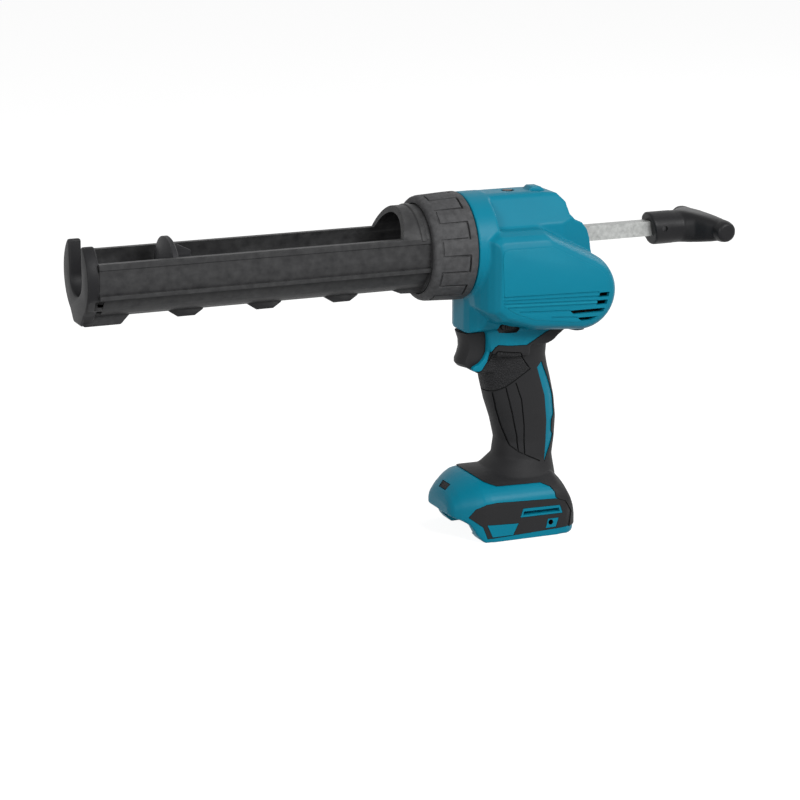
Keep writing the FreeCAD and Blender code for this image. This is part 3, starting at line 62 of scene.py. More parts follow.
camera_data = bpy.data.cameras.new("view_camera")
camera_data.lens = CAMERA_LENS
camera_data.sensor_width = 36.0
camera = bpy.data.objects.new("view_camera", camera_data)
bpy.context.scene.collection.objects.link(camera)
camera_back = Vector((math.sin(CAMERA_AZIMUTH) * math.cos(CAMERA_ELEVATION),
                      -math.cos(CAMERA_AZIMUTH) * math.cos(CAMERA_ELEVATION),
                      math.sin(CAMERA_ELEVATION)))
camera.location = CAMERA_TARGET + camera_back * CAMERA_DISTANCE
camera.rotation_euler = (-camera_back).to_track_quat("-Z", "Y").to_euler()
bpy.context.scene.camera = camera
print("camera at", [round(x, 3) for x in camera.location])

# %% [markdown]
# Every piece starts as a primitive that is shaped in edit mode. These helpers do by code what a
# hand does in the viewport: draw an outline and extrude it, pull a ring through several sections,
# turn a profile about an axis, and join or cut closed forms with the Boolean modifier.

# %% Modelling helpers
AXES = {"X": Vector((1, 0, 0)), "Y": Vector((0, 1, 0)), "Z": Vector((0, 0, 1))}
SIDES = {-1: "left", 1: "right"}
# A reach across, in millimetres, past every form
FAR = 60


def rest_selection():
    """Back to object mode with nothing selected."""
    if bpy.context.object is not None and bpy.context.object.mode != "OBJECT":
        bpy.ops.object.mode_set(mode="OBJECT")
    bpy.ops.object.select_all(action="DESELECT")


def take(piece):
    """Makes one object the active one, alone in the selection."""
    rest_selection()
    piece.select_set(True)
    bpy.context.view_layer.objects.active = piece
    return piece


def spot(along, level, across, up):
    """A point in metres from a level along one axis and the two other places, in millimetres."""
    place = {"X": (level, across, up), "Y": (across, level, up), "Z": (across, up, level)}[along]
    return Vector(place) * MM


def edit_all():
    """Into edit mode, with the whole mesh selected."""
    bpy.ops.object.mode_set(mode="EDIT")
    bpy.ops.mesh.select_all(action="SELECT")


def tidy_faces(piece, merge=0.01):
    """Merges doubles and turns every face outwards."""
    take(piece)
    edit_all()
    bpy.ops.mesh.remove_doubles(threshold=merge * MM)
    bpy.ops.mesh.normals_make_consistent(inside=False)
    bpy.ops.object.mode_set(mode="OBJECT")
    return piece


def ring_mesh(name, points, fill):
    """A ring of points, in metres, as a new object in edit mode with everything selected."""
    rest_selection()
    bpy.ops.mesh.primitive_circle_add(vertices=len(points), radius=MM, fill_type=fill)
    piece = bpy.context.object
    piece.name = name
    for vertex, point in zip(piece.data.vertices, points):
        vertex.co = point
    edit_all()
    return piece


def slab(name, outline, along, start, end):
    """A closed outline, in millimetres, extruded from start to end along an axis."""
    piece = ring_mesh(name, [spot(along, start, across, up) for across, up in outline], "NGON")
    bpy.ops.mesh.extrude_region_move(TRANSFORM_OT_translate={"value": AXES[along] * (end - start) * MM})
    bpy.ops.object.mode_set(mode="OBJECT")
    return tidy_faces(piece)


def loft(name, rings):
    """A closed form pulled through rings of points, in metres, all with the same count."""
    piece = ring_mesh(name, rings[0], "NGON")
    for last, ring in zip(rings, rings[1:]):
        bpy.ops.mesh.extrude_region_move()
        bpy.ops.object.mode_set(mode="OBJECT")
        for vertex in piece.data.vertices:
            if vertex.select:
                nearest = min(range(len(last)), key=lambda i: (last[i] - vertex.co).length_squared)
                vertex.co = ring[nearest]
        bpy.ops.object.mode_set(mode="EDIT")
    bpy.ops.object.mode_set(mode="OBJECT")
    return tidy_faces(piece)


def turned(name, profile, centre_z, steps=96):
    """A profile of (place along X, radius) corners spun about an axis along X at a height."""
    corners = [Vector((place, 0, centre_z + radius)) * MM for place, radius in profile]
    piece = ring_mesh(name, corners, "NOTHING")
    bpy.ops.mesh.spin(steps=steps, angle=math.tau, center=(0, 0, centre_z * MM), axis=(1, 0, 0))
    bpy.ops.object.mode_set(mode="OBJECT")
    return tidy_faces(piece)


def twin(piece, name):
    """A copy with a mesh of its own."""
    take(piece)
    bpy.ops.object.duplicate()
    other = bpy.context.object
    other.name = name
    return other


def apply(piece, kind, **settings):
    """Adds a modifier with these settings and applies it."""
    take(piece)
    step = piece.modifiers.new(kind.lower(), kind)
    for field, value in settings.items():
        setattr(step, field, value)
    bpy.ops.object.modifier_apply(modifier=step.name)
    return piece


def combine(piece, others, operation):
    """Joins to a piece, or cuts from it, other closed forms, which are used up."""
    for other in others if isinstance(others, list) else [others]:
        apply(piece, "BOOLEAN", operation=operation, solver="MANIFOLD", object=other)
        bpy.data.objects.remove(other)
    return piece


def joined(pieces, name):
    """Several objects as one object, with their meshes side by side."""
    take(pieces[0])
    for other in pieces[1:]:
        other.select_set(True)
    bpy.ops.object.join()
    pieces[0].name = name
    return pieces[0]


def melt(pieces, name, voxel, rounds):
    """Overlapping forms melted into one skin, its edges rounded by smoothing."""
    piece = joined(pieces, name)
    apply(piece, "REMESH", mode="VOXEL", voxel_size=voxel * MM, use_smooth_shade=True)
    apply(piece, "SMOOTH", factor=0.5, iterations=rounds)
    return piece


def arc(centre, radius, start, end, count):
    """Points on an arc, with angles in degrees."""
    angles = [math.radians(start + (end - start) * i / (count - 1)) for i in range(count)]
    return [(centre[0] + radius * math.cos(a), centre[1] + radius * math.sin(a)) for a in angles]


def ellipse(along, level, centre, half_across, half_up, squareness=1.0, count=40):
    """A ring of points, in metres, on an ellipse that a squareness under 1 makes fuller."""
    points = []
    for i in range(count):
        angle = math.tau * i / count
        c, s = (math.copysign(abs(v) ** squareness, v) for v in (math.cos(angle), math.sin(angle)))
        points.append(spot(along, level, centre[0] + half_across * c, centre[1] + half_up * s))
    return points


def span(side, near, far):
    """Start and end across for a form on one side."""
    return sorted((side * near, side * far))


def mirrored(half):
    """A half outline on the +Y side closed by its mirror image."""
    return half + [(-across, up) for across, up in reversed(half) if abs(across) > 1e-6]


def mirrored_plan(half):
    """A half plan on the +Y side closed by its mirror image."""
    return half + [(along, -across) for along, across in reversed(half) if abs(across) > 1e-6]


def grown(outline, by):
    """An outline with every side moved outwards by a distance, or inwards where it is negative."""
    count = len(outline)
    area = sum(outline[i - 1][0] * outline[i][1] - outline[i][0] * outline[i - 1][1] for i in range(count))
    turn = 1 if area > 0 else -1
    result = []
    for i, point in enumerate(outline):
        here = Vector(point)
        before = (here - Vector(outline[i - 1])).normalized()
        after = (Vector(outline[(i + 1) % count]) - here).normalized()
        normals = [Vector((side.y, -side.x)) * turn for side in (before, after)]
        middle = normals[0] + normals[1]
        middle = middle / max(middle.length_squared, 0.4) * 2
        result.append(tuple(here + middle * by))
    return result


def soft_edges(piece, width, segments=2, angle=35):
    """Small rounds along the sharp edges."""
    return apply(piece, "BEVEL", width=width * MM, segments=segments, limit_method="ANGLE",
                 angle_limit=math.radians(angle), harden_normals=False)


def shade(piece, angle=35):
    take(piece)
    bpy.ops.object.shade_smooth_by_angle(angle=math.radians(angle))
    return piece


def volume(piece):
    """Volume of a closed mesh in cubic centimetres."""
    piece.data.calc_loop_triangles()
    spots = [v.co for v in piece.data.vertices]
    total = sum(spots[t.vertices[0]].dot(spots[t.vertices[1]].cross(spots[t.vertices[2]]))
                for t in piece.data.loop_triangles)
    return round(total / 6 * 1e6, 2)


def report(*pieces):
    for piece in pieces:
        print(piece.name, len(piece.data.polygons), "faces", volume(piece), "cm3")


# %% [markdown]
# The housing is one flowing skin moulded in two halves. Its main volumes are the neck behind the
# collar, the gear case on top, the wide motor bulge, the waist, the grip and the battery foot.
# Each is drawn as a simple closed form and all are melted together by a voxel remesh, which
# rounds the lines where they meet as a mould maker would.

# %% Main lines of the housing, in millimetres
AXIS_Z = 198.0
NECK_FRONT = -35.0
NECK_RADIUS = 35.5
CASE_HALF = 25.0
MOTOR_AT = (38.6, 167.0)
BULGE_HALF = 43.0
FOOT_HALF = 36.0

# %% Neck, gear case and the bump on its top
NECK_REAR = -19.0
CASE_SIDE = [(-24, 150), (-24, 232.6), (12, 232.2), (27, 231.2), (31.5, 230.4), (36.8, 224.6), (37, 217.6),
             (40.5, 213.6), (47, 210.6), (51.4, 205.6), (53.4, 199.5), (55, 190.6), (55, 150)]
CASE_END = [(CASE_HALF, 150), (CASE_HALF, 212.4), (13.6, 229.6), (11.4, 231.5), (8, 232.4), (0, 233)]
CASE_PLAN = [(-24, CASE_HALF), (31, CASE_HALF), (55, 18.5)]
BUMP_SIDE = [(13.4, 226), (13.4, 231.2), (17, 234.3), (23.2, 234.1), (27.2, 230.6), (27.2, 226)]
BUMP_HALF = 5.2

neck = slab("neck", arc((0, AXIS_Z), NECK_RADIUS, 0, 360 - 3.75, 96), "X", NECK_FRONT, NECK_REAR)
case = slab("case", CASE_SIDE, "Y", -CASE_HALF - 5, CASE_HALF + 5)
combine(case, slab("case_end", mirrored(CASE_END), "X", -30, 60), "INTERSECT")
combine(case, slab("case_plan", mirrored_plan(CASE_PLAN), "Z", 140, 240), "INTERSECT")
bump = soft_edges(slab("bump", BUMP_SIDE, "Y", -BUMP_HALF, BUMP_HALF), 0.5)
report(neck, case, bump)

# %% Motor bulge: a ring pulled from the base outline to the smaller side panel and back
BULGE_ARC = (62, -90, 16)
BULGE_BASE = ([(-32.5, 160), (-34.6, 194), (-32, 206), (-22, 212), (11, 211.5)]
              + arc(MOTOR_AT, 27, *BULGE_ARC) + [(29.5, 141.2), (3, 142.6), (-22, 149.5)])
BULGE_PANEL = ([(-20, 163), (-21.6, 196), (-20.6, 199.6), (-18, 200.8), (14.5, 200.4)]
               + arc(MOTOR_AT, 19, *BULGE_ARC) + [(30, 148.5), (2, 152.3), (-12, 158)])
BULGE_STEPS = ((22, 0.0), (33, 0.08), (38.5, 0.3), (41.5, 0.6), (BULGE_HALF - 0.25, 1.0))
BULGE_PLAN = [(-34.6, 10), (-33.4, 20), (-31.2, 28), (-28.4, 34.5), (-25.4, 38.8), (-21.8, 42.6), (-21, 44),
              (70, 44)]
rings = []
for side in SIDES:
    for half, share in BULGE_STEPS[::-1] if side < 0 else BULGE_STEPS:
        rings.append([spot("Y", side * half, b[0] + (p[0] - b[0]) * share, b[1] + (p[1] - b[1]) * share)
                      for b, p in zip(BULGE_BASE, BULGE_PANEL)])
bulge = loft("bulge", rings)
combine(bulge, slab("bulge_plan", mirrored_plan(BULGE_PLAN), "Z", 130, 230), "INTERSECT")
report(bulge)

# %% Waist, trigger guard and grip
WAIST_FRONT_END = [(22.2, 168), (22.2, 147), (20, 142.6), (12, 140), (0, 139.6)]
WAIST_SIDE = [(-15, 168), (-15, 144), (-6, 140), (-5, 131), (21, 130.8), (25.5, 132.6), (29, 136), (34, 139),
              (46, 141), (46, 168)]
WAIST_PLAN = [(-34, 8), (-32.4, 14.5), (-29, 19.5), (-24, 22.2), (30, 22.2), (46, 17)]
GUARD_SIDE = [(-19.5, 142), (-18.6, 134), (-18.8, 126), (-21.3, 121.2), (-24.6, 118), (-28.6, 116.4),
              (-29.8, 115), (-28.6, 113.2), (-22.5, 112), (-8, 111.6), (-6, 142)]
GUARD_HALF = 12.6
CHEEK_SIDE = [(-19.2, 146), (-18.4, 134), (-17.6, 127), (-13.5, 124), (8, 124), (8, 146)]
CHEEK_PLAN = [(-19.4, 12.6), (-17, 15.4), (-13, 18.6), (-8, 21.2), (-3, 22.2), (8, 22.2)]
# Level, front, rear and half width of the grip's ovals
GRIP_OVALS = ((36, -26, 35, 26), (43, -15, 34, 21.5), (50, -6.8, 33, 18.5), (62, -5.4, 35, 17),
              (76, -8.7, 35.9, 17), (90, -13.4, 34.5, 17.3), (104, -16.8, 31.4, 17.5),
              (112, -18.2, 29.2, 17.7), (120, -18, 27.6, 18.2), (128, -16.4, 28, 19.5),
              (136, -15.6, 30.5, 21))
GRIP_POINTS = 48
GRIP_SQUARENESS = 0.88


def oval(level, front, rear, half):
    """A level oval, a little squarer than an ellipse."""
    return ellipse("Z", level, ((rear + front) / 2, 0), (rear - front) / 2, half, GRIP_SQUARENESS,
                   GRIP_POINTS)


waist = slab("waist", WAIST_SIDE, "Y", -30, 30)
waist_front = slab("waist_front", mirrored(WAIST_FRONT_END), "X", -34, -10)
for piece in (waist, waist_front):
    combine(piece, slab("waist_plan", mirrored_plan(WAIST_PLAN), "Z", 120, 180), "INTERSECT")
guard = slab("guard", GUARD_SIDE, "Y", -GUARD_HALF, GUARD_HALF)
cheek = slab("cheek", CHEEK_SIDE, "Y", -30, 30)
combine(cheek, slab("cheek_plan", mirrored_plan(CHEEK_PLAN), "Z", 100, 180), "INTERSECT")
grip = loft("grip", [oval(*ring) for ring in GRIP_OVALS])
report(waist, waist_front, guard, cheek, grip)

# %% Battery foot, pulled through arched sections from the nose to the rear
# Place along X, half width, floor, shoulder and top of each section
FOOT_SECTIONS = ((-48.6, 16, 17, 20.2, 24), (-47.6, 19, 16.3, 20.4, 28), (-46, 21.5, 15.6, 20.8, 31),
                 (-42, 25.5, 14.2, 21.5, 35.7), (-37.4, 29.5, 11.6, 22.5, 39), (-33.7, 32.6, 4.6, 23.5, 41),
                 (-29.6, 35, 0, 25, 42.5), (-24, FOOT_HALF, 0, 26, 43), (26, FOOT_HALF, 0, 26, 42.6),
                 (31.2, 35.4, 0, 25, 37.6), (34.5, 33.6, 0, 22, 30.6), (37.3, 31, 0, 17, 24),
                 (40, 27, 2.4, 11, 14), (40.8, 24.5, 4.5, 9, 11))


def foot_section(place, half, low, shoulder, top):
    angles = [math.radians(9 * i) for i in range(11)]
    arch = [(half * math.cos(a), shoulder + (top - shoulder) * math.sin(a)) for a in angles]
    return [spot("X", place, y, z) for y, z in mirrored([(half, low)] + arch)]


foot = loft("foot", [foot_section(*section) for section in FOOT_SECTIONS])
report(foot)

# %% The whole form, and copies drawn in from its skin
FORM_VOXEL = 0.9
FORM_ROUNDS = 5
SKIN_DEPTH = 2.2
LINE_DEPTH = 0.55
form = melt([neck, case, bulge, waist, waist_front, guard, cheek, grip, foot], "form", FORM_VOXEL,
            FORM_ROUNDS)
report(form)


def drawn_in(name, depth):
    """The form with its skin moved inwards, remeshed so that it stays one clean skin."""
    core = twin(form, name)
    apply(core, "DISPLACE", strength=-depth * MM, mid_level=0)
    apply(core, "REMESH", mode="VOXEL", voxel_size=FORM_VOXEL * MM)
    return core


skin_core = drawn_in("skin_core", SKIN_DEPTH)
groove_core = drawn_in("groove_core", LINE_DEPTH)
report(skin_core, groove_core)

# %% [markdown]
# A soft black overmould wraps the grip and the top of the foot. On the real tool it is shot into a
# recess of the hard housing, so both share one skin. Here a prism of the overmould's side outline,
# emptied by the drawn-in form, cuts that recess and also cuts the overmould out of the same form.

# %% Overmould of the grip
COVER_SIDE = [(-60, 111.6), (-27, 112), (-22.5, 113.6), (-18.5, 119.5), (-16.3, 127.1), (-14.8, 129.9),
              (-13.1, 131.5), (6, 130.7), (19.8, 138.3), (24, 140), (44, 140.6), (60, 140.6), (60, 4.6),
              (33.3, 4.6), (35.7, 14.8), (29.6, 23.4), (24.5, 25.3), (22.4, 26.8), (22.2, 30.2), (19.8, 33.6),
              (14, 36.2), (-17.9, 36.8), (-25.3, 39.4), (-31, 43.6), (-60, 46)]
STRIP_SIDE = [(16.6, 113.2), (20.6, 116.8), (27.2, 102.8), (31, 92.5), (32, 78.3), (29.4, 74.5), (29.2, 67),
              (31.2, 64.2), (28.6, 58.3), (21.9, 46.8), (23.8, 60.8), (24.4, 75.9), (22.8, 93.1)]
SEAM = 0.14
COVER_PROUD = 0.7


def cover_region(name, by):
    region = slab(name, grown(COVER_SIDE, by), "Y", -FAR, FAR)
    combine(region, slab("strip", grown(STRIP_SIDE, -by), "Y", -FAR, FAR), "DIFFERENCE")
    return combine(region, twin(skin_core, "skin_room"), "DIFFERENCE")


cover = twin(form, "cover")
apply(cover, "DISPLACE", strength=COVER_PROUD * MM, mid_level=0)
combine(cover, cover_region("cover_region", -SEAM), "INTERSECT")
shell = twin(form, "shell")
combine(shell, cover_region("cover_recess", SEAM), "DIFFERENCE")
report(cover, shell)

# %% [markdown]
# The foot carries a black panel on each side, with windows for the hook slot, the hook's screw and
# a plain field. The panels are cut from the same form as the overmould was.

# %% Foot panels
PANEL_SIDE = [(-38.6, 17), (-34.8, 23.2), (-28.5, 26.6), (-21.5, 27.4), (22.4, 25.6), (24.5, 25.3),
              (29.6, 23.4), (35.7, 14.8), (33.3, 4.9), (-27.6, 2.7), (-30.6, 11)]
HOOK_FRAME = [(-3.8, 15.2), (-1.7, 21.3), (25.7, 20.8), (27.9, 15)]
SCREW_PATCH = [(15.2, 5.5), (16.8, 12), (24.9, 12), (22.8, 5.7)]
FIELD_SIDE = [(-27.9, 12.4), (-5, 11.4), (-9, 3.6), (-24.2, 3.6)]
HOOK_SLOT = [(-1.8, 16.6), (-1.2, 19.2), (25, 19), (25.6, 16.4)]
PANEL_INNER = 15


def panel_region(name, side, by):
    across = span(side, PANEL_INNER, FAR)
    region = slab(name, grown(PANEL_SIDE, by), "Y", *across)
    windows = [slab("window", grown(outline, -by), "Y", *across)
               for outline in (HOOK_FRAME, SCREW_PATCH, FIELD_SIDE)]
    combine(region, joined(windows, "windows"), "DIFFERENCE")
    return combine(region, twin(skin_core, "skin_room"), "DIFFERENCE")


panels = {}
for side, word in SIDES.items():
    panels[side] = twin(form, word + "_foot_panel_shell")
    combine(panels[side], panel_region("panel_region", side, -SEAM), "INTERSECT")
    combine(shell, panel_region("panel_recess", side, SEAM), "DIFFERENCE")
    report(panels[side])

# %% [markdown]
# Inside, the housing is hollow for the motor, the gears, the switch, the board and the battery's
# slide. The hollows follow the CAD nodes they hold, so that the dark behind the vents is real.

# %% Hollows of the housing
DRUM_RADIUS = 22.5
DIAL_AT = (-35.2, 26.4)
DIAL_TILT = math.radians(36.87)
DIAL_PLACE = Matrix.Translation(spot("Y", 0, *DIAL_AT)) @ Matrix.Rotation(DIAL_TILT, 4, "Y")


def block(name, x0, x1, y0, y1, z0, z1):
    return slab(name, [(x0, z0), (x1, z0), (x1, z1), (x0, z1)], "Y", y0, y1)


def round_bar(name, along, centre, radius, start, end, count=48):
    return slab(name, arc(centre, radius, 0, 360 - 360 / count, count), along, start, end)


def stadium(length, height, centre):
    reach = (length - height) / 2
    return (arc((centre[0] + reach, centre[1]), height / 2, -90, 90, 12)
            + arc((centre[0] - reach, centre[1]), height / 2, 90, 270, 12))


def dial_slab(name, radius, half, count=72):
    """A disc on the speed dial's tilted axis."""
    disc = slab(name, arc((0, 0), radius, 0, 360 - 360 / count, count), "Z", -half, half)
    disc.data.transform(DIAL_PLACE)
    return disc


BUTTON_AT = (-7.5, 144.5)
TRIGGER_ROOM = (-45, -8, -9.9, 9.9, 113.6, 139.4)
SCREWS = ((-19.8, 220.9), (20.7, 219.0), (-26.1, 147.4), (-8.2, 104.0), (0.3, 68.0), (30.3, 24.1))
DISH = stadium(15.4, 7.2, (-7, 143.6))
INSERT_AT = (19, 9.4)
shanks = [round_bar("hollow_shank", "Y", place, 1.9, -10.4, FAR) for place in SCREWS]
heads = [round_bar("hollow_head", "Y", place, 3.7, 8, FAR) for place in SCREWS]
dishes = [slab("hollow_dish", DISH, "Y", *span(side, 19.6, 40)) for side in SIDES]
hooks = [slab("hollow_hook", HOOK_SLOT, "Y", *span(side, 31, 50)) for side in SIDES]
inserts = [round_bar("hollow_insert", "Y", INSERT_AT, 3.1, *span(side, 27.5, 35.55)) for side in SIDES]
holes = [round_bar("hollow_hole", "Y", INSERT_AT, 1.9, *span(side, 30, 50)) for side in SIDES]
# The forms within one group stand clear of each other, so each group is cut in one step
hollow_groups = (
    [round_bar("hollow_neck", "X", (0, AXIS_Z), 29.6, -40, -27.8),
     round_bar("hollow_drum", "Y", MOTOR_AT, DRUM_RADIUS, -40, 40),
     block("hollow_switch", -13, 18.1, -10.6, 10.6, 111.9, 139.1),
     block("hollow_board", -20, 24, -26, 26, 18, 33),
     block("hollow_slide_low", -60, 30, -21, 21, -5, 14),
     dial_slab("hollow_dial", 12.4, 2.6),
     slab("hollow_button", stadium(9.8, 5.4, BUTTON_AT), "Y", -FAR, FAR),
     round_bar("hollow_top_screw", "Z", (1, 0), 4.6, 228.6, 250)],
    [round_bar("hollow_flange", "X", (0, AXIS_Z), 32.7, -31, -27.8),
     block("hollow_guide", 35.9, 46.1, -9.1, 9.1, 190.7, 207.1),
     block("hollow_trigger", *TRIGGER_ROOM),
     block("hollow_wires", 6, 23, -8, 8, 31, 111.8),
     block("hollow_slide_high", -60, 30, -25, 25, 4, 14),
     round_bar("hollow_top_shank", "Z", (1, 0), 1.9, 215, 235)],
    [block("hollow_hall", -28.5, 28, -17, 17, 157, 221)] + dishes + hooks + inserts,
    [block("hollow_room", -26.5, 30.5, -29.5, 29.5, 157, 196)] + shanks + holes,
    [block("hollow_rod", 23, 60, -4.4, 4.4, 193.4, 204.4)] + heads,
)
for group in hollow_groups:
    combine(shell, joined(group, "hollows"), "DIFFERENCE")
combine(cover, block("hollow_trigger", *TRIGGER_ROOM), "DIFFERENCE")
report(shell)

# %% [markdown]
# The side panel of the motor bulge is lined with fine grooves that lead to the vents. Both are cut
# straight in from the side, because the panel is flat there.

# %% Vents and grooves of the motor bulge
VENTS = ([(49.4, 167), (49, 163.9), (56, 163.9), (56.8, 167)],
         [(47.8, 161.9), (47.4, 158.8), (54.6, 158.8), (55.7, 161.9)],
         [(27.6, 156.6), (53.6, 156.4), (52, 153.9), (30.2, 153.9)],
         [(33.2, 151.4), (48.2, 151.2), (43, 148.9), (36, 148.9)])
GROOVES = (((-21.6, 169.4), (49, 167.4)), ((-21.4, 167), (49, 164.6)), ((-21, 164.8), (48, 161.8)),
           ((-18, 162), (47.6, 159.5)), ((-9, 158.5), (27.4, 156.7)), ((14, 153.2), (33, 151.6)))
GROOVE_HALF = 0.5
GROOVE_FLOOR = 42.3
plates, vents, grooves = [], [], []
for side in SIDES:
    plates.append(soft_edges(slab("side_panel", BULGE_PANEL, "Y", *span(side, 41, BULGE_HALF)), 0.3))
    vents += [slab("vent", outline, "Y", *span(side, 36, 50)) for outline in VENTS]
    for (x0, z0), (x1, z1) in GROOVES:
        outline = [(x0, z0 - GROOVE_HALF), (x1, z1 - GROOVE_HALF),
                   (x1, z1 + GROOVE_HALF), (x0, z0 + GROOVE_HALF)]
        grooves.append(slab("groove", outline, "Y", *span(side, GROOVE_FLOOR, 50)))
combine(shell, joined(plates + [bump], "side_panels"), "UNION")
combine(shell, [joined(vents, "vents"), joined(grooves, "grooves")], "DIFFERENCE")
report(shell)

# %% [markdown]
# The overmould has a leather-grained pad under the fingers and long ridges below it. Their
# outlines are grooves half a millimetre deep, cut by ribbons that are emptied by the drawn-in form.

# %% Pad outline and ridges of the overmould
PAD_SIDE = [(-13.6, 127.4), (1.2, 126), (8.8, 115.4), (11, 113.2), (2, 107.5), (-7, 101), (-12, 98.4),
            (-16.5, 97), (-26, 96), (-26, 113.2), (-18, 119.5)]
GRIP_LINES = (((-13, 97), (-10.2, 85.7), (-5.5, 71), (-1.4, 59.8), (3.4, 55.6), (18.3, 48.2)),
              ((-6, 101.1), (-1, 82.6), (2.6, 66.2), (3.4, 55.6)),
              ((0.4, 104.3), (4.8, 91.9), (7.2, 73.6), (7.4, 53.6)))
LINE_HALF = 0.45


def ribbon(points, half):
    """A band of even width along a line of points."""
    left, right = [], []
    for i, point in enumerate(points):
        before = Vector(points[max(i - 1, 0)])
        after = Vector(points[min(i + 1, len(points) - 1)])
        normal = (after - before).normalized().orthogonal() * half
        left.append(tuple(Vector(point) + normal))
        right.append(tuple(Vector(point) - normal))
    return left + right[::-1]


def engrave(piece, outlines):
    """Cuts shallow grooves of these side outlines into the skin, on both sides."""
    for outline in outlines:
        cutter = slab("engraver", outline, "Y", -FAR, FAR)
        combine(cutter, twin(groove_core, "groove_room"), "DIFFERENCE")
        combine(piece, cutter, "DIFFERENCE")


pad_ring = PAD_SIDE + PAD_SIDE[:1]
engrave(cover, [ribbon(pad_ring, LINE_HALF)] + [ribbon(line, LINE_HALF) for line in GRIP_LINES])
report(cover)

# %% Split the housing and the overmould at the middle
HALF_GAP = 0.02


def half_of(piece, name, side, gap):
    """One side of a piece, cut at a gap from the middle and closed."""
    half = twin(piece, name)
    edit_all()
    bpy.ops.mesh.bisect(plane_co=(0, side * gap * MM, 0), plane_no=(0, side, 0), use_fill=True,
                        clear_inner=True)
    bpy.ops.object.mode_set(mode="OBJECT")
    return half


housing_halves = {}
cover_halves = {}
for side, word in SIDES.items():
    housing_halves[side] = half_of(shell, word + "_housing_shell", side, HALF_GAP)
    cover_halves[side] = half_of(cover, word + "_grip_overmould", side, 0)
    for piece in (housing_halves[side], cover_halves[side], panels[side]):
        shade(piece, 32)
        report(piece)
for piece in (form, skin_core, groove_core, shell, cover):
    bpy.data.objects.remove(piece)

# %% [markdown]
# The cartridge holder is one moulding: a trough with thick rails and a ledge along each side, a
# slotted plate with two horns in front, feet below and a ring that the collar clamps.

# %% Cartridge holder
HOLDER_BORE = 25.3
HOLDER_OUTER = 27.6
RAIL_TOP = 210.0
RAIL_INNER = 22.4
LEDGE_Z = 188.5
PLATE_FRONT = -298.2
PLATE_REAR = -290.0
RING_FRONT = -85.6
RING_REAR = -56.4
RING_RADIUS = 29.5
HORN_TOP = 219.6
SLOT_HALF = 12.5
PLATE_RADIUS = 27.2
TROUGH_REAR = -62
LEDGE_PROUD = 2.0


def trough_half():
    """Half section of the trough on the +Y side, from the rail's inner corner round to the keel line."""
    rail_angle = math.degrees(math.asin((RAIL_TOP - AXIS_Z) / HOLDER_BORE))
    ledge_out = HOLDER_OUTER + LEDGE_PROUD
    ledge_angle = math.degrees(math.asin((LEDGE_Z - AXIS_Z) / HOLDER_OUTER))
    outer = [(HOLDER_OUTER - 0.9, RAIL_TOP), (HOLDER_OUTER, RAIL_TOP - 0.9), (HOLDER_OUTER, RAIL_TOP - 3.6),
             (HOLDER_OUTER - 0.7, RAIL_TOP - 4.2), (HOLDER_OUTER - 0.5, AXIS_Z)]
    outer += arc((0, AXIS_Z), HOLDER_OUTER - 0.3, -3, ledge_angle + 3.2, 6)
    outer += [(ledge_out * math.cos(math.radians(ledge_angle + 1.6)), LEDGE_Z + 1.4),
              (ledge_out * math.cos(math.radians(ledge_angle)), LEDGE_Z - 1.3)]
    outer += arc((0, AXIS_Z), HOLDER_OUTER - 1.2, ledge_angle - 3.6, -90, 20)
    inner = arc((0, AXIS_Z), HOLDER_BORE, -90, rail_angle - 2, 26) + [(RAIL_INNER, RAIL_TOP)]
    return outer, inner


outer, inner = trough_half()
trough_outline = outer + [(-y, z) for y, z in reversed(outer[:-1])]
trough_outline += [(-y, z) for y, z in reversed(inner)] + inner[1:]
holder = slab("cartridge_holder_shell", trough_outline, "X", PLATE_REAR - 0.5, TROUGH_REAR)
report(holder)

# %% Feet, keel and plates of the holder
RIB_CENTRES = (-228.2, -174.9, -121.6)
RIB_TOP = 23.0
RIB_FOOT = 11.5
RIB_BOTTOM = 168.5
RIB_HALF = 9.0
KEEL_REAR = -266.0


def holder_rib(middle):
    wall = AXIS_Z - HOLDER_BORE
    outline = [(middle - RIB_FOOT / 2, RIB_BOTTOM), (middle + RIB_FOOT / 2, RIB_BOTTOM),
               (middle + RIB_TOP / 2, wall - 0.4), (middle + RIB_TOP / 2, wall + 1),
               (middle - RIB_TOP / 2, wall + 1), (middle - RIB_TOP / 2, wall - 0.4)]
    rib = slab("rib", outline, "Y", -RIB_HALF, RIB_HALF)
    return soft_edges(rib, 0.8)


plate_low = math.degrees(math.asin((HORN_TOP - AXIS_Z) / PLATE_RADIUS))
plate_outline = arc((0, AXIS_Z), PLATE_RADIUS, 180 - plate_low, 238, 32)
plate_outline += [(-9.5, 169), (-7.6, 167.3), (7.6, 167.3), (9.5, 169)]
plate_outline += arc((0, AXIS_Z), PLATE_RADIUS, 302, 360 + plate_low, 32)
plate_outline += [(SLOT_HALF, HORN_TOP)] + arc((0, AXIS_Z), SLOT_HALF, 0, -180, 28) + [(-SLOT_HALF, HORN_TOP)]
plate = soft_edges(slab("plate", plate_outline, "X", PLATE_FRONT, PLATE_REAR), 1.4, 3)
keel = slab("keel", [(PLATE_FRONT + 0.6, 180), (PLATE_FRONT + 0.6, 169), (PLATE_FRONT + 2, 167.2),
                     (-272, 167.2), (KEEL_REAR, 173.4), (KEEL_REAR, 176)], "Y", -10, 10)
soft_edges(keel, 0.9)
combine(keel, [round_bar("keel_room", "X", (0, AXIS_Z), HOLDER_BORE, PLATE_REAR, -200, 96),
               round_bar("slot_room", "X", (0, AXIS_Z), SLOT_HALF, -310, PLATE_REAR + 0.2, 56)], "DIFFERENCE")
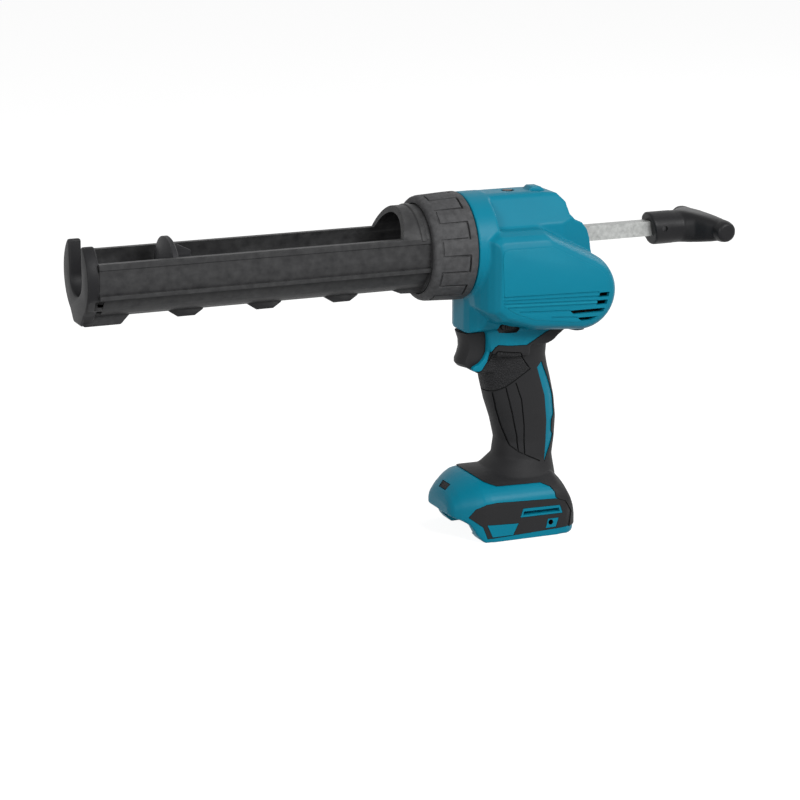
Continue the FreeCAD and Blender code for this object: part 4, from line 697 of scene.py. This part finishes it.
arch = turned("arch", [(RING_FRONT, HOLDER_BORE), (RING_FRONT, RING_RADIUS), (-73, RING_RADIUS),
                       (-72.4, 30.2), (-69.6, 30.2), (-69.2, RING_RADIUS), (-64, RING_RADIUS),
                       (-64, HOLDER_BORE)], AXIS_Z)
combine(arch, block("above_rails", -100, -50, -40, 40, RAIL_TOP - 1.5, 240), "INTERSECT")
lean = slab("lean", [(-100, RAIL_TOP), (RING_FRONT, RAIL_TOP), (-79.4, 229), (-79.4, 250), (-100, 250)],
            "Y", -FAR, FAR)
combine(arch, lean, "DIFFERENCE")
flange = turned("flange", [(-66, HOLDER_BORE), (-66, RING_RADIUS), (-61, RING_RADIUS), (-60.9, 32.2),
                           (RING_REAR, 32.2), (RING_REAR, HOLDER_BORE)], AXIS_Z)
last_foot = slab("last_foot", [(-87, 173.4), (-80, 170.4), (-64, 169.7), (-64, 175), (-87, 175)],
                 "Y", -RIB_HALF, RIB_HALF)
combine(last_foot, round_bar("last_foot_room", "X", (0, AXIS_Z), HOLDER_BORE, -100, -50, 96), "DIFFERENCE")
ribs = joined([holder_rib(middle) for middle in RIB_CENTRES], "ribs")
combine(holder, [plate, keel, arch, flange, soft_edges(last_foot, 0.8), ribs], "UNION")
windows = []
for side in SIDES:
    windows += [block("clip_window", -292.8, -286.6, *span(side, 19, 40), 180, 186),
                block("clip_window", -290.4, -286.6, *span(side, 14, 40), 174.6, 178.4)]
combine(holder, joined(windows, "clip_windows"), "DIFFERENCE")
soft_edges(holder, 0.35, 2, 50)
shade(holder, 30)
report(holder)

# %% [markdown]
# The clamp collar is a ring of hard rubber. A square-wave groove runs round it for grip: straight
# bars along the axis, joined in turn at the front and at the rear by short arcs.

# %% Clamp collar
COLLAR_FRONT = -66.0
COLLAR_REAR = -35.4
MEANDER_FRONT = -61.4
MEANDER_REAR = -40.6
MEANDER_STEPS = 20
MEANDER_HALF = 0.75
MEANDER_FLOOR = 34.3
MEANDER_TOP = 40

collar = turned("clamp_collar_shell", [
    (COLLAR_FRONT, 30.2), (COLLAR_FRONT, 32.2), (COLLAR_FRONT + 0.7, 33.6), (COLLAR_FRONT + 2, 34.5),
    (COLLAR_FRONT + 4, 35), (COLLAR_REAR - 8, 35.9), (COLLAR_REAR - 1.6, 36), (COLLAR_REAR - 0.4, 35.4),
    (COLLAR_REAR, 34.6), (COLLAR_REAR, 33.2), (-61.5, 33.2), (-61.5, 30.2)], AXIS_Z, 180)
bars, arcs = [], []
step = math.tau / MEANDER_STEPS
for number in range(MEANDER_STEPS):
    turn = Matrix.Translation((0, 0, AXIS_Z * MM)) @ Matrix.Rotation(number * step, 4, "X")
    bar = block("bar", MEANDER_FRONT, MEANDER_REAR, -MEANDER_HALF, MEANDER_HALF, MEANDER_FLOOR,
                MEANDER_TOP)
    bar.data.transform(turn)
    bars.append(bar)
    middle = MEANDER_FRONT + MEANDER_HALF if number % 2 else MEANDER_REAR - MEANDER_HALF
    rest_selection()
    bpy.ops.mesh.primitive_plane_add(size=2 * MM)
    link = bpy.context.object
    corners = ((middle - MEANDER_HALF, MEANDER_FLOOR), (middle + MEANDER_HALF, MEANDER_FLOOR),
               (middle + MEANDER_HALF, MEANDER_TOP), (middle - MEANDER_HALF, MEANDER_TOP))
    for index, (x, z) in zip((0, 1, 3, 2), corners):
        link.data.vertices[index].co = spot("Y", 0, x, z)
    edit_all()
    bpy.ops.mesh.spin(steps=6, angle=step, center=(0, 0, 0), axis=(1, 0, 0))
    bpy.ops.object.mode_set(mode="OBJECT")
    tidy_faces(link)
    link.data.transform(turn)
    arcs.append(link)
combine(collar, [joined(bars, "bars"), joined(arcs, "arcs")], "DIFFERENCE")
soft_edges(collar, 0.35, 2, 40)
shade(collar)
report(collar)

# %% [markdown]
# The pull handle is a black T: a round barrel pinned to the rod that flattens into two wings for
# the fingers. Its forms are melted together, as the housing's were.

# %% Pull handle
HANDLE_Z = 198.4
PIN_AT = (114.6, 199.5)
# Room for the rod, across and in height
ROD_ROOM = (-4.1, 4.1, 193.7, 204.1)
HANDLE_SLANT = [(105.2, 215), (130, 215), (130, 182), (110.8, 182)]
BARREL_RADIUS = 11.3
BAR_X = 149.8
HANDLE_VOXEL = 0.7
HANDLE_ROUNDS = 7
# Place along X, half width and half height of the neck's sections
NECK_SECTIONS = ((120, 11.2, 11.2), (130, 11.6, 11.1), (135, 16, 10.8), (139.5, 23.5, 10.2), (144, 30, 9.4),
                 (149, 33.4, 8.6), (154, 31.5, 7.2))
NECK_SQUARENESS = 0.62
NECK_ROUND_END = 130
# Place across, half length and half height of the wings' sections
WING_SECTIONS = ((0, 7, 7.6), (12, 7.1, 7.6), (24, 7.4, 7.6), (30, 7.5, 7.5), (33.6, 6.8, 6.8), (35, 5, 5))

barrel = slab("barrel", arc((0, HANDLE_Z), BARREL_RADIUS, 0, 355, 72), "X", 100, 124)
combine(barrel, slab("slant", HANDLE_SLANT, "Y", -20, 20), "INTERSECT")
neck_part = loft("handle_neck", [
    ellipse("X", x, (0, HANDLE_Z), half, up, NECK_SQUARENESS if x > NECK_ROUND_END else 1.0)
    for x, half, up in NECK_SECTIONS])
sections = [(-y, half, up) for y, half, up in WING_SECTIONS[:0:-1]] + list(WING_SECTIONS)
wings = loft("handle_wings", [ellipse("Y", y, (BAR_X, HANDLE_Z), half, up) for y, half, up in sections])
handle = melt([barrel, neck_part, wings], "rod_handle_shell", HANDLE_VOXEL, HANDLE_ROUNDS)
combine(handle, block("rod_room", 90, 125.1, *ROD_ROOM), "DIFFERENCE")
combine(handle, round_bar("pin_room", "Y", PIN_AT, 2.05, -FAR, FAR), "DIFFERENCE")
shade(handle)
report(handle)

# %% [markdown]
# The piston pushes the cartridge's floor: a dished disc with four gussets behind it. The small
# controls follow: trigger, lock-off button and a knurled speed dial.

# %% Piston
PISTON_FACE = -244.0
PISTON_RADIUS = 21.5
piston = turned("piston_shell", [
    (PISTON_FACE, 4.7), (PISTON_FACE, 8), (PISTON_FACE + 2.4, 12), (PISTON_FACE + 3.8, PISTON_RADIUS - 2),
    (PISTON_FACE + 4.8, PISTON_RADIUS), (PISTON_FACE + 7.6, PISTON_RADIUS),
    (PISTON_FACE + 8.4, PISTON_RADIUS - 0.8), (PISTON_FACE + 8.6, 9.4), (PISTON_FACE + 9.4, 9),
    (PISTON_FACE + 22, 8.6), (PISTON_FACE + 22, 2.5), (PISTON_FACE + 3.4, 2.5), (PISTON_FACE + 3.4, 4.7)],
    AXIS_Z)
gusset = [(PISTON_FACE + 5, AXIS_Z - 20), (PISTON_FACE + 22, AXIS_Z - 11.5), (PISTON_FACE + 22, AXIS_Z - 3),
          (PISTON_FACE + 5, AXIS_Z - 3)]
gussets = []
for number in range(4):
    part = soft_edges(slab("gusset", gusset, "Y", -1.5, 1.5), 0.3)
    part.data.transform(Matrix.Translation((0, 0, AXIS_Z * MM))
                        @ Matrix.Rotation(math.pi / 2 * number, 4, "X")
                        @ Matrix.Translation((0, 0, -AXIS_Z * MM)))
    gussets.append(part)
combine(piston, gussets, "UNION")
combine(piston, block("socket", -236.1, 0, *ROD_ROOM), "DIFFERENCE")
soft_edges(piston, 0.25, 2, 40)
shade(piston)
report(piston)

# %% Trigger, lofted across from side to side with its front drawn back towards the sides
TRIGGER_FRONT = [(-35.6, 139), (-33.6, 133), (-33.4, 128), (-34.6, 123.5), (-36.2, 120), (-36.2, 117.6),
                 (-34.5, 115.6), (-31, 114.4)]
TRIGGER_REAR = [(-24.5, 114.5), (-20, 116.5), (-16.6, 120.5), (-15.4, 126), (-15.2, 139)]
TRIGGER_HALF = 9.5
TRIGGER_DRAW = 3.4
sections = []
for share in (-1, -0.96, -0.86, -0.7, -0.5, -0.25, 0, 0.25, 0.5, 0.7, 0.86, 0.96, 1):
    back = TRIGGER_DRAW * share ** 2 + (0.9 if abs(share) == 1 else 0)
    outline = [(x + back, z) for x, z in TRIGGER_FRONT] + TRIGGER_REAR
    sections.append([spot("Y", share * TRIGGER_HALF, x, z) for x, z in outline])
trigger = loft("trigger_shell", sections)
combine(trigger, round_bar("plunger", "X", (0, 125.5), 3, -18, -6), "UNION")
shade(trigger)
report(trigger)

# %% Lock-off button and speed dial
button = slab("lock_off_shell", stadium(9, 4.6, BUTTON_AT), "Y", -22, 22)
soft_edges(button, 0.7, 3, 50)
ridge_cuts = [block("ridge", BUTTON_AT[0] + x - 0.35, BUTTON_AT[0] + x + 0.35, *span(side, 21.5, 30),
                    140, 149) for side in SIDES for x in (-2.4, -0.8, 0.8, 2.4)]
combine(button, ridge_cuts, "DIFFERENCE")
shade(button)

DIAL_RADIUS = 12.0
DIAL_RIDGES = 48
outline = []
for number in range(DIAL_RIDGES):
    for share, depth in ((0.1, 0), (0.4, 0), (0.6, 0.7), (0.9, 0.7)):
        angle = math.tau * (number + share) / DIAL_RIDGES
        outline.append(((DIAL_RADIUS - depth) * math.cos(angle), (DIAL_RADIUS - depth) * math.sin(angle)))
dial = slab("speed_dial_shell", outline, "Z", -2.2, 2.2)
soft_edges(dial, 0.2, 1, 60)
dial.data.transform(DIAL_PLACE)
shade(dial)
report(button, dial)

# %% [markdown]
# Finishes. Moulded plastic is never one flat colour: it has a fine spark-eroded grain and faint clouds
# in tone and gloss. Two node groups make these effects once. The grain group gives a height and a cloud
# mask, and the edge highlight group gives a mask along the sharp edges for a painted highlight there.

# %% Shared node groups


def new_group(name, inputs, outputs):
    group = bpy.data.node_groups.new(name, "ShaderNodeTree")
    for socket, value in inputs:
        made = group.interface.new_socket(socket, in_out="INPUT", socket_type="NodeSocketFloat")
        made.default_value = value
    for socket in outputs:
        group.interface.new_socket(socket, in_out="OUTPUT", socket_type="NodeSocketFloat")
    return group, group.nodes.new("NodeGroupInput"), group.nodes.new("NodeGroupOutput")


grain_group, grain_in, grain_out = new_group("moulded_grain", (("Grain Scale", 900.0), ("Cloud Scale", 25.0)),
                                             ("Height", "Cloud"))
coordinates = grain_group.nodes.new("ShaderNodeTexCoord")
fine = grain_group.nodes.new("ShaderNodeTexNoise")
fine.inputs["Detail"].default_value = 3.0
cloud = grain_group.nodes.new("ShaderNodeTexNoise")
cloud.inputs["Detail"].default_value = 4.0
links = grain_group.links
links.new(coordinates.outputs["Object"], fine.inputs["Vector"])
links.new(coordinates.outputs["Object"], cloud.inputs["Vector"])
links.new(grain_in.outputs["Grain Scale"], fine.inputs["Scale"])
links.new(grain_in.outputs["Cloud Scale"], cloud.inputs["Scale"])
links.new(fine.outputs["Fac"], grain_out.inputs["Height"])
links.new(cloud.outputs["Fac"], grain_out.inputs["Cloud"])

# A mask along the sharp edges, broken up by noise, where a painted highlight goes
edge_highlight_group, edge_highlight_in, edge_highlight_out = new_group("painted_edge_highlight", (("Reach", 0.53), ("Scale", 180.0)), ("Mask",))
geometry = edge_highlight_group.nodes.new("ShaderNodeNewGeometry")
edge = edge_highlight_group.nodes.new("ShaderNodeMapRange")
edge.inputs["From Max"].default_value = 0.62
patch = edge_highlight_group.nodes.new("ShaderNodeTexNoise")
patch_coordinates = edge_highlight_group.nodes.new("ShaderNodeTexCoord")
both = edge_highlight_group.nodes.new("ShaderNodeMath")
both.operation = "MULTIPLY"
links = edge_highlight_group.links
links.new(geometry.outputs["Pointiness"], edge.inputs["Value"])
links.new(edge_highlight_in.outputs["Reach"], edge.inputs["From Min"])
links.new(patch_coordinates.outputs["Object"], patch.inputs["Vector"])
links.new(edge_highlight_in.outputs["Scale"], patch.inputs["Scale"])
links.new(edge.outputs["Result"], both.inputs[0])
links.new(patch.outputs["Fac"], both.inputs[1])
links.new(both.outputs["Value"], edge_highlight_out.inputs["Mask"])
print("groups:", grain_group.name, edge_highlight_group.name)

# %% Material builder
PLASTIC_SPECULAR = 0.15


def finish(name, light, dark, rough, grain_scale, grain_depth, highlight_colour=None, metallic=0.0, cloud_scale=25.0):
    """A procedural material: two tones in clouds, grain as bump, and a painted highlight along sharp edges.
    """
    material = bpy.data.materials.new(name)
    material.use_nodes = True
    nodes = material.node_tree.nodes
    links = material.node_tree.links
    shader = nodes["Principled BSDF"]
    shader.inputs["Metallic"].default_value = metallic
    shader.inputs["Specular IOR Level"].default_value = PLASTIC_SPECULAR
    grain = nodes.new("ShaderNodeGroup")
    grain.node_tree = grain_group
    grain.inputs["Grain Scale"].default_value = grain_scale
    grain.inputs["Cloud Scale"].default_value = cloud_scale
    tone = nodes.new("ShaderNodeMix")
    tone.data_type = "RGBA"
    tone.inputs[6].default_value = (*dark, 1)
    tone.inputs[7].default_value = (*light, 1)
    links.new(grain.outputs["Cloud"], tone.inputs["Factor"])
    colour = tone.outputs[2]
    # The sharp edges are lightened towards this colour as a painted highlight
    if highlight_colour is not None:
        edge_highlight_node = nodes.new("ShaderNodeGroup")
        edge_highlight_node.node_tree = edge_highlight_group
        edges = nodes.new("ShaderNodeMix")
        edges.data_type = "RGBA"
        edges.inputs[7].default_value = (*highlight_colour, 1)
        links.new(edge_highlight_node.outputs["Mask"], edges.inputs["Factor"])
        links.new(colour, edges.inputs[6])
        colour = edges.outputs[2]
    links.new(colour, shader.inputs["Base Color"])
    gloss = nodes.new("ShaderNodeMapRange")
    gloss.inputs["To Min"].default_value = rough[0]
    gloss.inputs["To Max"].default_value = rough[1]
    links.new(grain.outputs["Height"], gloss.inputs["Value"])
    links.new(gloss.outputs["Result"], shader.inputs["Roughness"])
    bump = nodes.new("ShaderNodeBump")
    bump.inputs["Distance"].default_value = grain_depth * MM
    bump.inputs["Strength"].default_value = 1.0
    links.new(grain.outputs["Height"], bump.inputs["Height"])
    links.new(bump.outputs["Normal"], shader.inputs["Normal"])
    return material


# The last colour of the teal is a painted highlight along its sharp edges
TEAL = finish("housing_teal", (0.001, 0.192, 0.288), (0.001, 0.164, 0.25), (0.36, 0.5), 1400, 0.05,
              highlight_colour=(0.012, 0.28, 0.38))
RUBBER = finish("soft_black", (0.021, 0.021, 0.022), (0.013, 0.013, 0.014), (0.5, 0.68), 1600, 0.06)
# The last colour of the holder's grey is a painted highlight along its sharp edges
HOLDER = finish("holder_grey", (0.014, 0.014, 0.015), (0.008, 0.008, 0.009), (0.4, 0.58), 1100, 0.07,
                highlight_colour=(0.06, 0.06, 0.061))
BLACK = finish("black_plastic", (0.02, 0.02, 0.021), (0.013, 0.013, 0.014), (0.4, 0.55), 1300, 0.05)
HANDLE = finish("handle_black", (0.014, 0.014, 0.015), (0.008, 0.008, 0.009), (0.36, 0.48), 700, 0.05)
PISTON = finish("piston_grey", (0.03, 0.03, 0.032), (0.018, 0.018, 0.02), (0.42, 0.6), 900, 0.08)
COLLAR = finish("collar_rubber", (0.1, 0.1, 0.103), (0.024, 0.024, 0.025), (0.5, 0.78), 420, 0.16,
                cloud_scale=260)
ZINC = finish("zinc_steel", (0.5, 0.51, 0.5), (0.2, 0.205, 0.2), (0.36, 0.56), 900, 0.03, metallic=1.0,
              cloud_scale=420)
STEEL = finish("bright_steel", (0.66, 0.66, 0.67), (0.56, 0.56, 0.57), (0.2, 0.34), 1500, 0.02, metallic=1.0)
OXIDE = finish("black_steel", (0.06, 0.06, 0.062), (0.03, 0.03, 0.031), (0.34, 0.5), 1500, 0.02, metallic=1.0)
ALLOY = finish("sleeve_alloy", (0.7, 0.71, 0.72), (0.58, 0.59, 0.6), (0.34, 0.5), 900, 0.05, metallic=1.0)
BRONZE = finish("bronze", (0.72, 0.52, 0.28), (0.6, 0.42, 0.21), (0.25, 0.4), 1200, 0.02, metallic=1.0)
FERRITE = finish("ferrite", (0.1, 0.1, 0.1), (0.06, 0.06, 0.06), (0.6, 0.8), 1200, 0.05)
LAMINATED = finish("laminated_steel", (0.34, 0.34, 0.35), (0.22, 0.22, 0.23), (0.4, 0.55), 1000, 0.05,
                   metallic=1.0)
BOARD = finish("board_green", (0.03, 0.2, 0.08), (0.02, 0.14, 0.05), (0.25, 0.4), 800, 0.03)
SLOT_FINISH = {"housing_teal": TEAL, "holder_grey": HOLDER, "soft_black": RUBBER, "black_plastic": BLACK,
               "zinc_steel": ZINC, "bright_steel": STEEL, "black_steel": OXIDE, "sleeve_alloy": ALLOY,
               "bronze": BRONZE, "ferrite": FERRITE, "laminated_steel": LAMINATED, "board_green": BOARD}

# %% Leather grain of the pad
LEATHER_SCALE = 620.0
LEATHER_DEPTH = 0.35


def leather(name):
    """The rubber with pebbled leather cells in relief."""
    material = RUBBER.copy()
    material.name = name
    nodes = material.node_tree.nodes
    links = material.node_tree.links
    place = nodes.new("ShaderNodeTexCoord")
    cells = nodes.new("ShaderNodeTexVoronoi")
    cells.feature = "DISTANCE_TO_EDGE"
    cells.inputs["Scale"].default_value = LEATHER_SCALE
    relief = nodes.new("ShaderNodeMapRange")
    relief.inputs["From Max"].default_value = 0.25
    bump = nodes["Bump"]
    bump.inputs["Distance"].default_value = LEATHER_DEPTH * MM
    links.new(place.outputs["Object"], cells.inputs["Vector"])
    links.new(cells.outputs["Distance"], relief.inputs["Value"])
    links.new(relief.outputs["Result"], bump.inputs["Height"])
    return material


LEATHER = leather("pad_leather")


def inside(outline, x, z):
    """Whether a place lies within an outline."""
    hits = False
    for i, (x1, z1) in enumerate(outline):
        x0, z0 = outline[i - 1]
        if (z0 > z) != (z1 > z) and x < x0 + (x1 - x0) * (z - z0) / (z1 - z0):
            hits = not hits
    return hits


def paint(piece, *materials):
    piece.data.materials.clear()
    for material in materials:
        piece.data.materials.append(material)


DISH_FACES = grown(DISH, 0.1)
for half in housing_halves.values():
    paint(half, TEAL, BLACK)
    for face in half.data.polygons:
        middle = face.center / MM
        face.material_index = int(15 < abs(middle.y) < 22.5 and inside(DISH_FACES, middle.x, middle.z))
for half in cover_halves.values():
    paint(half, RUBBER, LEATHER)
    for face in half.data.polygons:
        middle = face.center / MM
        face.material_index = int(inside(PAD_SIDE, middle.x, middle.z))

# %% [markdown]
# Every CAD node that still shows gets the finish of its slot, and every new piece rides on the body
# of the node that it stands for.

# %% Finishes of the CAD nodes, and pieces on their bodies
DARKENED = {"handle_pin": OXIDE, "hook_inserts": OXIDE}
node_slot = {row["node"]: row["material_slot"] for row in frame["record"]["subparts"]}
for name, node in frame["nodes"].items():
    paint(node, DARKENED.get(name, SLOT_FINISH[node_slot[name]]))


def fit(piece, material, body, node):
    """A finished piece takes a material, a body and the place of a CAD node."""
    if material is not None:
        paint(piece, material)
    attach(piece, body)
    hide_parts(node)
    print(piece.name, "rides on", body)


for side, word in SIDES.items():
    fit(housing_halves[side], None, "housing", word + "_housing")
    fit(cover_halves[side], None, "housing", word + "_grip_cover")
    fit(panels[side], BLACK, "housing", word + "_foot_panel")
fit(holder, HOLDER, "holder", "cartridge_holder")
fit(collar, COLLAR, "collar", "clamp_collar")
fit(handle, HANDLE, "rod", "rod_handle")
fit(piston, PISTON, "rod", "piston")
fit(trigger, BLACK, "trigger", "trigger")
fit(button, BLACK, "lock_off", "lock_off_button")
fit(dial, BLACK, "dial", "speed_dial")

# %% [markdown]
# The stage is a plain floor under three softboxes: a key from the right front, a fill from the left
# and a weak one from behind. To the camera and in gloss the floor and the surround are white, while
# they light the tool only weakly, and the floor keeps the tool's shadow.

# %% Floor
FLOOR_HALF = 14.0
FLOOR_DEPTH = 0.0005
FLOOR_TONE = 0.35
FLOOR_LIFT = 0.9


def sight(tree):
    """1 for a ray from the camera, or one sent on by gloss or glass, and 0 for the rest."""
    path = tree.nodes.new("ShaderNodeLightPath")
    value = path.outputs["Is Camera Ray"]
    for ray in ("Is Glossy Ray", "Is Transmission Ray"):
        larger = tree.nodes.new("ShaderNodeMath")
        larger.operation = "MAXIMUM"
        tree.links.new(value, larger.inputs[0])
        tree.links.new(path.outputs[ray], larger.inputs[1])
        value = larger.outputs["Value"]
    return value


rest_selection()
bpy.ops.mesh.primitive_plane_add(size=2 * FLOOR_HALF, location=(0, 0, -FLOOR_DEPTH))
floor = bpy.context.object
floor.name = "floor"
floor_finish = bpy.data.materials.new("floor_white")
floor_finish.use_nodes = True
floor_nodes = floor_finish.node_tree.nodes
floor_links = floor_finish.node_tree.links
floor_shader = floor_nodes["Principled BSDF"]
floor_shader.inputs["Base Color"].default_value = (FLOOR_TONE, FLOOR_TONE, FLOOR_TONE, 1)
floor_shader.inputs["Roughness"].default_value = 0.9
floor_shader.inputs["Specular IOR Level"].default_value = 0.0
lift = floor_nodes.new("ShaderNodeMath")
lift.operation = "MULTIPLY"
lift.inputs[1].default_value = FLOOR_LIFT
floor_links.new(sight(floor_finish.node_tree), lift.inputs[0])
floor_shader.inputs["Emission Color"].default_value = (1, 1, 1, 1)
floor_links.new(lift.outputs["Value"], floor_shader.inputs["Emission Strength"])
paint(floor, floor_finish)

# %% Lights
WORLD_STRENGTH = 0.14


def softbox(name, place, target, width, height, power):
    data = bpy.data.lights.new(name, "AREA")
    data.shape = "RECTANGLE"
    data.size = width
    data.size_y = height
    data.energy = power
    lamp = bpy.data.objects.new(name, data)
    bpy.context.scene.collection.objects.link(lamp)
    lamp.location = place
    lamp.rotation_euler = (Vector(target) - Vector(place)).to_track_quat("-Z", "Y").to_euler()
    return lamp


softbox("key_softbox", (0.5, -1.5, 1.2), (-0.05, 0, 0.13), 0.9, 0.7, 32)
softbox("left_softbox", (-1.7, -1.3, 0.8), (-0.1, 0, 0.13), 0.9, 0.9, 19)
softbox("rear_softbox", (1.7, 0.6, 1.2), (0, 0, 0.15), 0.9, 0.9, 8)
world = bpy.data.worlds.new("studio")
bpy.context.scene.world = world
world.use_nodes = True
background = world.node_tree.nodes["Background"]
background.inputs["Color"].default_value = (1, 1, 1, 1)
surround = world.node_tree.nodes.new("ShaderNodeMath")
surround.operation = "MAXIMUM"
surround.inputs[1].default_value = WORLD_STRENGTH
world.node_tree.links.new(sight(world.node_tree), surround.inputs[0])
world.node_tree.links.new(surround.outputs["Value"], background.inputs["Strength"])
bpy.context.scene.view_settings.view_transform = "Standard"
